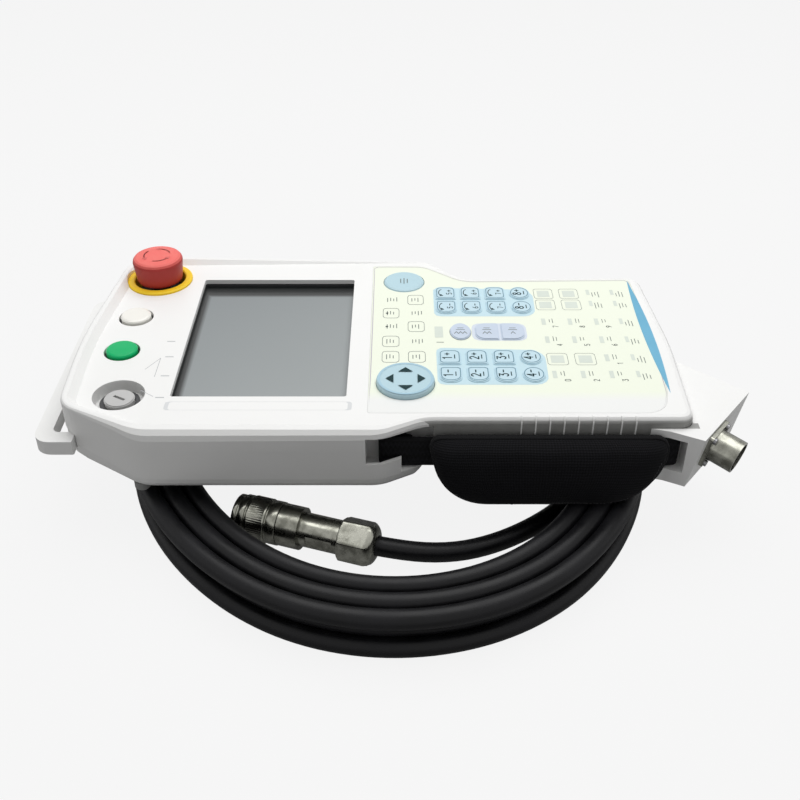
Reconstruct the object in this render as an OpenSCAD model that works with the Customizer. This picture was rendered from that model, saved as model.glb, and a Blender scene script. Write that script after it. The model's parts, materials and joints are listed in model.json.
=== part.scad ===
// Robot teach pendant with its hand strap, lying on its coiled cable.
// Datum: the plane of the face is z = 0 and the middle of the head is y = 0; the head points to -X.

/* [Case] */
// Width of the head
case_w = 199; // [196:1:206]
// From the datum to the end of the head
head_l = 185; // [184:1:190]
// From the datum to the end of the handle
handle_l = 173; // [171:1:176]
// From the middle line to the near wall of the handle
handle_near = 87; // [86:0.5:88]
// From the middle line to the far wall of the handle
handle_far = 75; // [74:0.5:77]
// Depth of the front cover
front_d = 14; // [13:0.5:15]
// Depth from the face to the back
case_d = 43; // [42.5:0.5:46]
// Thickness of the case walls
wall = 2.5; // [2:0.1:2.8]
// Thickness of the face
face_t = 3; // [2.6:0.1:3.2]
// Rounding of the face's edge along the head
head_edge_r = 7; // [5:0.5:8]
// Rounding of the face's edge along the handle
handle_edge_r = 4; // [2:0.5:4]
// Rounding between the walls and the back
back_r = 9; // [6:0.5:9]
// Rounding of the back at the head's end
back_end_r = 21; // [12:1:24]
// Shadow gap between the two covers
seam = 0.3; // [0.1:0.05:0.5]
// Height of the guard rim round the head's end
rim_h = 4; // [2:0.5:6]
// Width of the rim's crest
rim_crest = 2; // [1.5:0.5:3]
// Width of the slope inside the rim
rim_slope = 4; // [3:0.5:5]
// Number of finger ribs on the handle
grip_ribs = 9; // [5:1:9]
// Spacing of the finger ribs
grip_pitch = 8; // [6:0.5:8.5]
// How far a finger rib stands out
grip_rib_h = 0.8; // [0.5:0.1:1.2]

/* [Screen] */
// Window along the case
window_l = 101; // [96:1:103]
// Window across the case
window_w = 137; // [132:1:140]
// Middle of the window along the case
window_x = -73; // [-75:1:-72]
// Middle of the window across the case
window_y = 2.5; // [0:0.5:4]
// Thickness of the screen gasket
gasket_t = 2; // [1:0.1:2.5]
// Thickness of the touch panel
glass_t = 1.8; // [1:0.1:2.4]
// Thickness of the display module
lcd_t = 10; // [8:0.5:11]

/* [Keypad] */
// Thickness of the keypad film
film_t = 0.5; // [0.3:0.05:0.8]
// Spacing of the axis keys along the handle
key_pitch = 16.3; // [16:0.1:16.5]
// Length of an axis key along the handle
key_l = 13.6; // [12.5:0.1:13.8]
// Width of an axis key across the handle
key_w = 16.2; // [15:0.1:16.4]
// How far the keys stand above the film
key_up = 1; // [0.8:0.1:1.6]
// Travel of a key
key_travel = 0.6; // [0.4:0.05:0.8]
// Clearance round a key
key_gap = 0.3; // [0.2:0.05:0.35]
// Diameter of the select key
select_d = 27; // [24:0.5:28]
// Diameter of the cursor pad
cursor_d = 34; // [32:0.5:35]
// How far the cursor pad stands above the film
cursor_up = 3.4; // [2:0.2:4]

/* [Emergency stop] */
// Diameter of the mushroom head
estop_d = 33; // [31:0.5:34]
// Top of the head above the face
estop_h = 19; // [17:0.5:22]
// Press travel
estop_travel = 4; // [3:0.5:5]
// Diameter of the yellow collar
collar_d = 43; // [41:0.5:44]
// Diameter of the plunger
plunger_d = 12; // [10:0.5:14]

/* [Buttons and mode switch] */
// Diameter of the holes for the two push buttons
button_hole_d = 22; // [21:0.5:23]
// Diameter of a button cap
button_d = 19; // [17:0.5:19]
// Height of a cap above the face
button_up = 2.6; // [2:0.2:4]
// Travel of a button
button_travel = 2.5; // [1.5:0.5:3]
// Diameter of the pocket round the mode switch
mode_pocket_d = 30; // [28:0.5:31]
// Depth of that pocket
mode_pocket_h = 8; // [6:0.5:9]
// Diameter of the mode switch's turning disc
mode_d = 17.5; // [16:0.5:18]

/* [Enabling switch] */
// Length of the lever
lever_l = 64; // [56:1:66]
// Width of the lever
lever_w = 21; // [18:0.5:22]
// How far the lever stands out of the back
lever_out = 7; // [5:0.5:7]
// Diameter of the lever's trunnions
trunnion_d = 4; // [3:0.5:4.5]
// Radial clearance of shafts that turn or slide
fit = 0.05; // [0.03:0.01:0.08]

/* [Hanging loop] */
// How far the loop reaches past the head
loop_out = 15; // [14:0.5:22]
// Width of its bars
loop_bar = 9.5; // [8:0.5:10]
// Thickness of its bars
loop_t = 9; // [7:0.5:10]

/* [Hand strap] */
// Width of the webbing
webbing_w = 20; // [16:0.5:20]
// Thickness of the webbing
webbing_t = 1.6; // [1.2:0.1:2]
// Thickness of the pad at its top
pad_t = 11; // [8:0.5:12]
// How far the bottom of the pad hangs outwards
pad_lean = 5.6; // [3:0.2:6]
// Diameter of the anchor bars
anchor_d = 5; // [4:0.5:5]

/* [Connector] */
// Side of the receptacle's flange
flange_w = 22; // [21:0.5:24]
// Thickness of the flange
flange_t = 2.5; // [2:0.1:3]
// Diameter of the receptacle's barrel
barrel_d = 19.5; // [18:0.1:19.6]
// Length of the barrel past the flange
barrel_l = 14.5; // [12:0.5:16]
// Wall of the barrel
barrel_wall = 1.2; // [1:0.1:1.6]
// Way the receptacle points, round from +X
conn_turn = -38; // [-40:1:-36]
// Way the receptacle points, down from level
conn_dip = 10; // [8:1:11]

/* [Cable] */
// Diameter of the cable
cable_d = 11.5; // [11:0.1:11.6]
// Half length of the coil along the case
coil_a = 165; // [163:1:168]
// How much longer the coil is across the case
coil_oval = 1.16; // [1.12:0.01:1.18]
// Turns of cable side by side in the coil
coil_across = 3; // [3:1:4]
// Layers of cable in the coil, each nested in the one below
coil_layers = 3; // [2:1:4]
// Length of a plug
plug_l = 87; // [84:1:90]
// Diameter of a plug's coupling ring
ring_d = 26.6; // [25:0.2:27]

/* [Hidden] */
$fn = 64;
eps = 0.01;

white = [0.93, 0.93, 0.92];
black = [0.07, 0.07, 0.08];
nickel = [0.72, 0.70, 0.66];
key_blue = [0.70, 0.85, 0.90];

half_w = case_w / 2;
rest_gap = 0.2;               // between pieces that lie on each other
foot_h = 5.5;
foot_r = 4.7;
foot_z = -case_d - foot_h;
coil_top = foot_z - rest_gap;
coil_h = cable_d * (1 + (coil_layers - 1) * sqrt(0.75));
coil_w = coil_across * cable_d;
floor_z = coil_top - coil_h;
run_z = floor_z + cable_d / 2; // height of cable that lies on the floor

// The box of the pendant without its cable, whose middle is the origin of the part.
loop_x = -head_l - loop_out;
tail_x = 213;
pad_y = -handle_near - 2.3 - pad_t - pad_lean;
lever_z = -case_d - lever_out - 1;
origin = [(loop_x + tail_x) / 2, (half_w + pad_y) / 2, (estop_h + lever_z) / 2];

// ---------- outlines ----------
// An outline is a list of corners [x, y, radius], counter-clockwise. outline() turns each corner into
// steps of its arc, [centre x, centre y, side, radius, angle], and point() sets a step in by d.
function unit(v) = v / norm(v);
function arc_steps(v, i, n) =
  let (
    a = v[(i + len(v) - 1) % len(v)],
    b = v[i],
    c = v[(i + 1) % len(v)],
    u = unit([b.x - a.x, b.y - a.y]),
    w = unit([c.x - b.x, c.y - b.y]),
    turn = atan2(cross(u, w), u * w),
    side = turn > 0 ? 1 : -1,
    start = [b.x, b.y] - u * b.z * tan(abs(turn) / 2),
    centre = start - side * b.z * [u.y, -u.x],
    from = atan2(-u.x, u.y)
  )
  [for (k = [0:n]) [centre.x, centre.y, side, b.z, from + turn * k / n]];
function outline(v, n = 6) = [for (i = [0:len(v) - 1]) each arc_steps(v, i, n)];
function point(s, d = 0) =
  [s[0], s[1]] + s[2] * max(s[3] - s[2] * d, 0.1) * [cos(s[4]), sin(s[4])];
function path(o, d = 0) = [for (s = o) point(s, d)];
function smooth(s) = let (t = min(max(s, 0), 1)) t * t * (3 - 2 * t);

// Corners that the covers share: the head with its cut near corner, the shoulders and the handle.
head_cut = [44, 20.5];
head_corners = [
  [-head_l + 1, head_cut.y - half_w, 18],
  [-head_l + 1 + head_cut.x, -half_w, 40],
  [-2, -half_w, 25],
];
far_corners = [
  [50, handle_far - 1.5, 22],
  [28, half_w, 16],
  [-head_l + 7, half_w, 22],
  [-head_l - 3, -10, 400],
];
case_outline = outline(concat(
  head_corners,
  [
    [22, -handle_near, 25],
    [handle_l, -handle_near, 8],
    [handle_l + 2.5, -8, 300],
    [handle_l - 3, handle_far + 1.5, 10],
  ],
  far_corners
));
rear_near = handle_near - 15;  // the back of the handle stands in, to make room for a hand
rear_outline = outline(concat(
  head_corners,
  [
    [19, -handle_near - 1, 10],
    [27, -rear_near, 10],
    [handle_l - 23, -rear_near, 12],
    [handle_l, -rear_near + 14, 12],
    [handle_l + 2.5, -8, 300],
    [handle_l - 3, handle_far + 1.5, 10],
  ],
  far_corners
));
film_outline = outline([
  [-10, -handle_near + 5, 2],
  [handle_l - 16, -handle_near + 5, 14],
  [handle_l - 11, -62, 30],
  [handle_l - 7.5, 5, 150],
  [handle_l - 10, handle_far - 4, 3],
  [50, handle_far - 6, 22],
  [24, half_w - 9.5, 16],
  [-10, half_w - 9.5, 1.5],
]);
tail_corners = [
  [140, -rear_near - 13, 2],
  [159, -handle_near - 3, 6],
  [176, -handle_near - 11.5, 5],
  [200, -113, 3],
  [232, -69, 3],
  [172, -14.5, 3],
  [140, -14.5, 3],
];

// A closed solid through rings of equally many points, the lowest ring first.
module loft(rings) {
  n = len(rings[0]);
  m = len(rings);
  polyhedron(
    [for (r = rings) each r],
    concat(
      [[for (i = [0:n - 1]) i]],
      [
        for (j = [0:m - 2]) for (i = [0:n - 1]) each
          let (a = j * n + i, b = j * n + (i + 1) % n) [[a, a + n, b + n], [a, b + n, b]]
      ],
      [[for (i = [n - 1:-1:0]) (m - 1) * n + i]]
    )
  );
}

module prism(o, d, z0, z1) {
  translate([0, 0, z0]) linear_extrude(z1 - z0) polygon(path(o, d));
}

module plate(corners, z0, z1, n = 6) {
  prism(outline(corners, n), 0, z0, z1);
}

module rounded_bar(size, r, z0, z1) {
  x = size.x / 2;
  y = size.y / 2;
  plate([[x, -y, r], [x, y, r], [-x, y, r], [-x, -y, r]], z0, z1);
}

module ring(r_out, r_in, z0, z1) {
  translate([0, 0, z0]) difference() {
    cylinder(h = z1 - z0, r = r_out);
    translate([0, 0, -eps]) cylinder(h = z1 - z0 + 2 * eps, r = r_in);
  }
}

module rod(r, z0, z1) {
  translate([0, 0, z0]) cylinder(h = z1 - z0, r = r);
}

module block(low, high) {
  translate(low) cube(high - low);
}

// ---------- places on the face ----------
estop_at = [-head_l + 31, half_w - 28.5, 0];
hold_at = [-head_l + 24.5, half_w - 77.5, 0];
start_at = [-head_l + 24, half_w - 117.5, 0];
mode_at = [-head_l + 32, 35 - half_w, 0];
select_at = [10.9, half_w - 31.5, 0];
cursor_at = [11.4, -handle_near + 34.6, 0];
speed_y = 4;
axis_x = 38.2;                       // first column of axis keys
axis_rows = [-25.5, -44, 52, 34];    // plus and minus of the near block, then of the far block
function axis_at(n, minus) =
  [axis_x + (n % 4) * key_pitch, axis_rows[(n < 4 ? 0 : 2) + minus], 0];

collar_hole_r = collar_d / 2 - 3.3;
collar_in_r = estop_d / 2 + 0.3;
head_low = 1.6;                      // bottom of the mushroom above the face
collar_low = -9;
mode_floor = -mode_pocket_h;
mode_bush_r = 8;

// Screws that join the covers, and the bosses that they run in.
screw_at = [
  [-118, 15 - half_w], [-22, 15 - half_w], [-118, half_w - 15], [0, half_w - 15],
  [14 - head_l, 46], [14 - head_l, -42], [handle_l - 16, handle_far - 15], [handle_l - 30, 15 - rear_near],
];
screw_r = 1.45;
boss_r = 4;
screw_head_r = 2.75;
screw_seat_z = 11 - case_d;
foot_at = [
  [-141, 12 - half_w], [-141, half_w - 12], [handle_l - 23, 16 - rear_near], [handle_l - 23, handle_far - 19],
];

// The connector looks out of the slanted face of the tail.
conn_at = [185.7, -83, -20];
module at_connector() {
  translate(conn_at) rotate([0, conn_dip, conn_turn]) rotate([0, 90, 0]) children();
}
conn_bore_r = 7;

// The hanging loop: outer edges across the case, and the height of its middle.
loop_y = [-half_w + 11.5, half_w - 28.5];
loop_z = -20.5;

// Webbing anchors: upright bars in a pocket of the head and in a pocket of the tail.
webbing_z = [-12.2 - webbing_w, -12.2];
anchor_y = -handle_near + 2.2;
head_anchor = [0, anchor_y];
tail_anchor = [163, anchor_y];
pocket_z = [webbing_z[0] - 1, webbing_z[1] + 0.7];
window_z = [-23.5, -5.5];
tail_top = -7;

// Enabling switch
lever_at = [80, -37];
hinge_x = lever_at.x - lever_l / 2 + 1;
hinge_z = -case_d + 5;
lever_slot = [hinge_x - 5.2, hinge_x + lever_l + 3];
lever_turn = 5;

// ---------- case ----------
function rim_share(x) = smooth((-132 - x) / 33);
function edge_radius(x) =
  let (r = handle_edge_r + (head_edge_r - handle_edge_r) * smooth((10 - x) / 30))
  r - (r - 2) * rim_share(x);
function face_ring(k) =
  [
    for (s = case_outline)
      let (
        x = point(s).x,
        b = rim_share(x),
        r = edge_radius(x),
        q = 30 * (k - 1),
        flat = k == 5 ? rim_crest * b + 0.2 : (rim_crest + rim_slope) * b + 0.4
      )
      k == 0 ? [each point(s), -front_d] :
      k <= 4 ? [each point(s, r * (1 - cos(q))), rim_h * b - r * (1 - sin(q))] :
      [each point(s, r + flat), k == 5 ? rim_h * b : 0]
  ];
function back_radius(x) = back_r + (back_end_r - back_r) * smooth((-132 - x) / 45);
function back_ring(k, d) =
  let (q = 22.5 * k)
  [
    for (s = rear_outline)
      let (r = back_radius(point(s).x) - d)
      k == 5 ? [each point(s, seam + d), -front_d + (d > 0 ? 1 : 0)] :
      [each point(s, seam + d + r * (1 - sin(q))), -case_d + d + r * (1 - cos(q))]
  ];

module key_holes(gap, z0, z1) {
  for (n = [0:7]) for (minus = [0, 1]) translate(axis_at(n, minus)) axis_shape(n, minus, gap, z0, z1);
  translate(select_at) rod(select_d / 2 + gap, z0, z1);
  translate(cursor_at) rod(cursor_d / 2 + gap, z0, z1);
  for (n = [0:2]) translate(speed_at(n)) speed_shape(n, gap, z0, z1);
}

module front_cover() color(white) difference() {
  union() {
    difference() {
      loft([for (k = [0:6]) face_ring(k)]);
      difference() {
        prism(case_outline, wall, -front_d - 1, -face_t);
        anchor_blocks();
      }
    }
    for (p = screw_at) translate(p) rod(boss_r, -front_d, -face_t + eps);
    for (p = board_posts) translate(p) rod(2.5, board_z, -face_t + eps);
    translate(mode_at) rod(mode_pocket_d / 2 + wall, mode_floor - wall, -1);
    for (i = [0:grip_ribs - 1])
      translate([75.6 + i * grip_pitch, -handle_near, 0]) grip_rib();
  }
  translate([window_x, window_y, 0]) rounded_bar([window_l, window_w], 1.5, -face_t - 1, 1);
  prism(film_outline, -0.15, -film_t, 1);
  key_holes(key_gap, -face_t - 1, 1);
  translate(estop_at) rod(collar_hole_r + 0.2, -face_t - 1, 5);
  translate(estop_at) rod(collar_d / 2 + 0.3, -0.3, 5);
  for (p = [hold_at, start_at]) translate(p) rod(button_hole_d / 2, -face_t - 1, 5);
  translate(mode_at) {
    rod(mode_pocket_d / 2, mode_floor, 5);
    rod(mode_bush_r + 0.2, mode_floor - wall - 1, 5);
  }
  for (p = screw_at) translate(p) rod(screw_r + fit, -front_d - 1, -face_t - 1);
  strap_pockets();
}

// A rib follows the rounded edge of the handle and fades into the face.
module grip_rib() {
  r = handle_edge_r;
  rotate([90, 0, 90]) linear_extrude(0.8) polygon(concat(
    [[1, pocket_z[1] + 0.3], [-grip_rib_h, pocket_z[1] + 0.3]],
    [for (q = [0:15:60]) [r - (r + grip_rib_h) * cos(q), -r + (r + grip_rib_h) * sin(q)]],
    [[r - r * cos(78), -r + r * sin(78)], [r, -r]]
  ));
}

// Solid corners of both covers that carry the ends of the strap.
module anchor_blocks() {
  block([head_anchor.x - 13.5, -half_w, -case_d - 1], [29.5, anchor_y + 8, 0]);
  block([tail_anchor.x - 9, -half_w, -case_d - 1], [200, anchor_y + 8, 0]);
}

// The head's pocket opens through the near wall; a lip below its window hides the webbing's edge.
module strap_pockets() {
  block([-11, -half_w - 6, window_z[0]], [27, anchor_y + 5.6, window_z[1]]);
  translate([0, 0, pocket_z[0]]) linear_extrude(window_z[0] - pocket_z[0] + 1) polygon([
    [-11, 2.6 - half_w], [-3, 2.6 - half_w], [9, -90.6], [9, -110], [27, -110],
    [27, anchor_y + 5.6], [-11, anchor_y + 5.6],
  ]);
  translate([0, 0, pocket_z[0]]) linear_extrude(pocket_z[1] - pocket_z[0]) polygon([
    [138, -110], [tail_anchor.x + 3, -110], [tail_anchor.x + 5.6, -92], [tail_anchor.x + 5.6, anchor_y + 2],
    [tail_anchor.x + 3, anchor_y + 5.6], [tail_anchor.x - 5.6, anchor_y + 5.6],
    [tail_anchor.x - 5.6, 0.15 - handle_near], [138, 0.15 - handle_near],
  ]);
}

module tail_block() difference() {
  plate(tail_corners, 1 - case_d, tail_top);
  at_connector() translate([-60, -60, 0]) cube([120, 120, 60]);
  prism(case_outline, -seam, -front_d - seam, 0);
}

// A plate under the near edge of the handle closes the front cover above the gap for the hand.
module grip_ledge() plate([
  [20, -handle_near + seam, 1], [handle_l - 0.5, -handle_near + seam, 7.5],
  [handle_l - 0.5, -50, 1], [20, -50, 1],
], -front_d - 3, -front_d - seam - 0.1);

// A notch in the head's end behind the hanging loop, so that a hook can go round its bar.
notch_y = [loop_y[0] + loop_bar + 3, loop_y[1] - loop_bar - 3];
module hook_notch(d) {
  plate([
    [-head_l + 7 + d, notch_y[0] - d, 4], [-head_l + 7 + d, notch_y[1] + d, 4],
    [-head_l - 20, notch_y[1] + d, 1], [-head_l - 20, notch_y[0] - d, 1],
  ], -case_d - 1, -front_d - (d > 0 ? -1 : 2));
}

module rear_cover() color(white) difference() {
  union() {
    difference() {
      union() {
        loft([for (k = [0:5]) back_ring(k, 0)]);
        tail_block();
        grip_ledge();
      }
      difference() {
        loft([for (k = [0:5]) back_ring(k, wall)]);
        anchor_blocks();
        hook_notch(wall);
        for (y = loop_y + [loop_bar / 2, -loop_bar / 2])
          block([-head_l - 5, y - loop_bar / 2 - wall, -45], [-head_l + 11, y + loop_bar / 2 + wall, 0]);
      }
      strap_pockets();
      hook_notch(0);
    }
    for (p = screw_at) translate(p) rod(boss_r, -case_d + (p.x < -150 ? wall + 2 : 1), -front_d);
    for (p = [head_anchor, tail_anchor])
      translate(p) rod(anchor_d / 2, pocket_z[0] - 1, p == tail_anchor ? -front_d : window_z[1] - 0.3);
    for (p = main_board_posts) translate(p) rod(3, -case_d + 1, main_board_z);
    lever_seat();
  }
  for (p = screw_at) translate(p) {
    rod(screw_r + 0.25, -case_d - 1, 0);
    rod(screw_head_r + 0.3, -case_d - 1, screw_seat_z);
  }
  block([lever_slot[0], lever_at.y - lever_w / 2 - 0.5, -case_d - 1],
        [lever_slot[1], lever_at.y + lever_w / 2 + 0.5, switch_z - 0.1]);
  trunnion(fit);
  at_connector() {
    rod(conn_bore_r, -30, 1);
    for (p = flange_holes) translate(p) rod(1.25 + fit, -9, 1);
  }
  loop_limbs(0.1);
}

// ---------- hanging loop ----------
module loop_limbs(gap) {
  for (y = [loop_y[0] + loop_bar / 2, loop_y[1] - loop_bar / 2])
    block([loop_x + 4, y - loop_bar / 2 - gap, loop_z - loop_t / 2 - gap],
          [-head_l + 8.5, y + loop_bar / 2 + gap, loop_z + loop_t / 2 + gap]);
}

module hanging_loop() color(white) {
  x0 = loop_x;
  x1 = -head_l + 8;
  difference() {
    plate(
      [[x1, loop_y[0], 1], [x1, loop_y[1], 1], [x0, loop_y[1], 10], [x0, loop_y[0], 10]],
      loop_z - loop_t / 2, loop_z + loop_t / 2
    );
    plate(
      [
        [x1 + 9, loop_y[0] + loop_bar, 1], [x1 + 9, loop_y[1] - loop_bar, 1],
        [x0 + loop_bar, loop_y[1] - loop_bar, 4], [x0 + loop_bar, loop_y[0] + loop_bar, 4],
      ],
      loop_z - loop_t, loop_z + loop_t
    );
  }
}

// ---------- screen ----------
glass_z = -face_t - gasket_t;
module screen_gasket() color(black) translate([window_x, window_y, 0]) difference() {
  rounded_bar([window_l + 10, window_w + 10], 3, glass_z, -face_t);
  rounded_bar([window_l, window_w], 1.5, glass_z - 1, 1);
}

module touch_panel() color([0.62, 0.65, 0.65]) translate([window_x, window_y, 0])
  rounded_bar([window_l + 7, window_w + 7], 2, glass_z - glass_t, glass_z);

module lcd_module() color([0.55, 0.56, 0.57]) translate([window_x, window_y, 0]) union() {
  z = glass_z - glass_t;
  rounded_bar([window_l + 14, window_w + 18], 2, z - lcd_t + 3, z);
  block([-40, -50, z - lcd_t], [40, 50, z - lcd_t + 3]);
}

// ---------- boards ----------
main_board_z = glass_z - glass_t - lcd_t - 5;
main_board_posts = [[-128, -56], [-128, 70], [-18, -56], [-18, 70]];
module main_board() color([0.10, 0.35, 0.22]) union() {
  block([-133, -68, main_board_z], [-12, 76, main_board_z + 1.6]);
  block([-100, -30, main_board_z + 1.6], [-70, 0, main_board_z + 3.6]);
  block([-60, 10, main_board_z + 1.6], [-36, 34, main_board_z + 3.2]);
  block([-60, -60, main_board_z - 8], [-30, -52, main_board_z]);
}

board_z = -face_t - 4.2;
dome_h = 0.4;
board_posts = [[29, -8], [29, 18], [96, -8], [146, -40], [146, 50]];
module keypad_board() color([0.12, 0.40, 0.25]) difference() {
  union() {
    plate(
      [
        [-7, -74, 2], [150, -74, 2], [150, 62, 2], [29.5, 62, 2],
        [29.5, half_w - 16, 2], [-7, half_w - 16, 2],
      ],
      board_z - 1.6, board_z
    );
    for (n = [0:7]) for (minus = [0, 1]) translate(axis_at(n, minus)) rod(4, board_z - eps, board_z + dome_h);
    for (p = [select_at, cursor_at]) translate(p) rod(4, board_z - eps, board_z + dome_h);
    for (n = [0:2]) translate(speed_at(n)) rod(4, board_z - eps, board_z + dome_h);
  }
  for (p = screw_at) translate(p) rod(boss_r + 0.5, board_z - 3, board_z + 2);
}

// ---------- keypad film and keys ----------
module keypad_overlay() color([0.93, 0.97, 0.88]) difference() {
  prism(film_outline, 0, -film_t, 0);
  key_holes(key_gap, -film_t - 1, 1);
}

// Outline of an axis key: the fourth and eighth are oval, a minus key has a rounder outer edge.
module axis_shape(n, minus, gap, z0, z1) {
  x = key_l / 2 + gap;
  y = key_w / 2 + gap;
  if (n % 4 == 3)
    translate([0, 0, z0]) linear_extrude(z1 - z0) scale([1, y / x]) circle(r = x);
  else
    plate(
      minus == 1 ?
        [[x, -y, 5.5], [x, y, 1.5], [-x, y, 1.5], [-x, -y, 5.5]] :
        [[x, -y, 1.5], [x, y, 3.5], [-x, y, 3.5], [-x, -y, 1.5]],
      z0, z1
    );
}

speed_l = [13, 14.6, 14.6];
function speed_at(n) = [46 + n * 16.2 + (n > 0 ? 0.3 : 0), speed_y, 0];
module speed_shape(n, gap, z0, z1) {
  x = speed_l[n] / 2 + gap;
  y = 9.5 + gap;
  if (n == 0)
    translate([0, 0, z0]) linear_extrude(z1 - z0) scale([1, y / x]) circle(r = x);
  else
    mirror([n == 1 ? 1 : 0, 0, 0]) plate([[x, -y, 6], [x, y, 6], [-x, y, 1], [-x, -y, 1]], z0, z1);
}

key_flange = -face_t - 0.3;
module key_foot(size) {
  translate([-size.x / 2, -size.y / 2, key_flange - 0.9]) cube([size.x, size.y, 0.9]);
  rod(2.5, board_z + dome_h + key_travel + 0.3, key_flange - 0.9 + eps);
}

module axis_key(n, minus) color(key_blue) translate(axis_at(n, minus)) union() {
  axis_shape(n, minus, 0, key_flange - 0.5, key_up - 0.5);
  axis_shape(n, minus, -0.6, key_up - 0.5 - eps, key_up);
  key_foot([key_l + 1.6, key_w - 5]);
}

module speed_key(n) color(key_blue) translate(speed_at(n)) union() {
  speed_shape(n, 0, key_flange - 0.5, key_up - 0.5);
  speed_shape(n, -0.6, key_up - 0.5 - eps, key_up);
  key_foot([8, 21]);
}

module round_key(d, up, dish) union() {
  rotate_extrude() polygon([
    [0, key_flange - 0.5], [d / 2, key_flange - 0.5], [d / 2, up - 1.2], [d / 2 - 0.4, up - 0.5],
    [d / 2 - 1.4, up], [d / 2 - 5, up - dish * 0.6], [0, up - dish],
  ]);
  rod(d / 2 + 0.9, key_flange - 0.9, key_flange);
  rod(2.5, board_z + dome_h + key_travel + 0.3, key_flange - 0.9 + eps);
}

module select_key() color(key_blue) translate(select_at) round_key(select_d, key_up, 0.2);
module cursor_key() color(key_blue) translate(cursor_at) round_key(cursor_d, cursor_up, 0.5);

// ---------- emergency stop ----------
module estop_collar() color([0.96, 0.83, 0.24]) translate(estop_at) rotate_extrude() polygon([
  [collar_in_r, collar_low], [collar_hole_r, collar_low], [collar_hole_r, -0.2], [collar_d / 2, -0.2],
  [collar_d / 2, 1], [collar_d / 2 - 1, 1.8], [collar_in_r + 0.8, 1.8], [collar_in_r, 1],
]);

module estop_body() color(black) translate(estop_at) difference() {
  union() {
    rod(collar_hole_r, collar_low - 5, collar_low);
    rounded_bar([27, 27], 2, -33, collar_low - 5 + eps);
  }
  rod(plunger_d / 2 + fit, collar_low - 7 - estop_travel - 3, collar_low + 1);
}

module estop_plunger() color([0.35, 0.35, 0.36]) translate(estop_at)
  rod(plunger_d / 2, collar_low - 7, head_low + 8);

module estop_head() color([0.85, 0.22, 0.20]) translate(estop_at) difference() {
  rotate_extrude() polygon([
    [0, head_low], [estop_d / 2 - 1.8, head_low], [estop_d / 2 - 1.4, head_low + 1],
    [estop_d / 2, estop_h - 4], [estop_d / 2 - 0.3, estop_h - 2.6], [estop_d / 2 - 1.2, estop_h - 1.4],
    [estop_d / 2 - 2.6, estop_h - 0.7], [estop_d / 2 - 7, estop_h - 0.15], [0, estop_h],
  ]);
  rod(plunger_d / 2 + fit, head_low - 1, head_low + 8.3);
}

// ---------- push buttons ----------
cap_low = -6.5;
module button_cap(at, shade) color(shade) translate(at) union() {
  rotate_extrude() polygon([
    [0, cap_low], [button_d / 2, cap_low], [button_d / 2, button_up - 1.6],
    [button_d / 2 - 0.5, button_up - 0.8], [button_d / 2 - 1.6, button_up - 0.3], [0, button_up],
  ]);
  rod(2.5, cap_low - 7.5, cap_low + eps);
}
module hold_button() button_cap(hold_at, [0.95, 0.94, 0.92]);
module start_button() button_cap(start_at, [0.03, 0.71, 0.43]);

module pushbutton_switches() color(black) for (p = [hold_at, start_at]) translate(p) difference() {
  union() {
    rod(button_hole_d / 2 - 0.2, -face_t - eps, -face_t + 0.6);
    rod(button_hole_d / 2 + 2, -face_t - 9, -face_t);
    rounded_bar([18, 18], 2, -face_t - 28, -face_t - 9 + eps);
  }
  rod(button_d / 2 + 0.3, cap_low - button_travel - 0.5, 1);
  rod(2.5 + fit, cap_low - 7.5 - button_travel - 1, 1);
}

// ---------- mode switch ----------
module mode_switch_body() color(black) translate(mode_at) difference() {
  union() {
    rod(mode_bush_r, mode_floor - 26, mode_floor);
    rod(mode_bush_r + 3, mode_floor - wall - 3, mode_floor - wall);
  }
  rod(4 + fit, mode_floor - 8, mode_floor + 1);
}

module mode_switch_bezel() color(black) translate(mode_at)
  ring(mode_d / 2 + 2.8, mode_d / 2 + 0.3, mode_floor, mode_floor + 3);

module mode_switch_rotor() color([0.83, 0.83, 0.83]) translate(mode_at) difference() {
  union() {
    rod(mode_d / 2 - 0.6, mode_floor + 0.3, mode_floor + 6);
    rod(mode_d / 2, mode_floor + 0.3, mode_floor + 5.4);
    rod(4, mode_floor - 7, mode_floor + 0.3 + eps);
  }
  translate([0, 0, mode_floor + 4]) rotate([0, 0, 60]) translate([-0.9, -4, 0]) cube([1.8, 8, 3]);
}

// ---------- enabling switch ----------
switch_z = -case_d + 7.5;
module trunnion(gap) {
  translate([hinge_x, lever_at.y, hinge_z]) rotate([90, 0, 0])
    rod(trunnion_d / 2 + gap, -lever_w / 2 - 4, lever_w / 2 + 4);
}

module lever_seat() {
  for (side = [-1, 1]) {
    y = lever_at.y + side * (lever_w / 2 + 3);
    block([hinge_x - 5, y - 2.5, -case_d + 1], [hinge_x + 5, y + 2.5, hinge_z + 5]);
    block([hinge_x + 12, y - 2.5, -case_d + 1], [hinge_x + lever_l - 8, y + 2.5, switch_z]);
  }
}

module enabling_switch_body() color(black)
  block([hinge_x + 13, lever_at.y - lever_w / 2 - 5.5, switch_z],
        [hinge_x + lever_l - 9, lever_at.y + lever_w / 2 + 5.5, switch_z + 14]);

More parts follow.
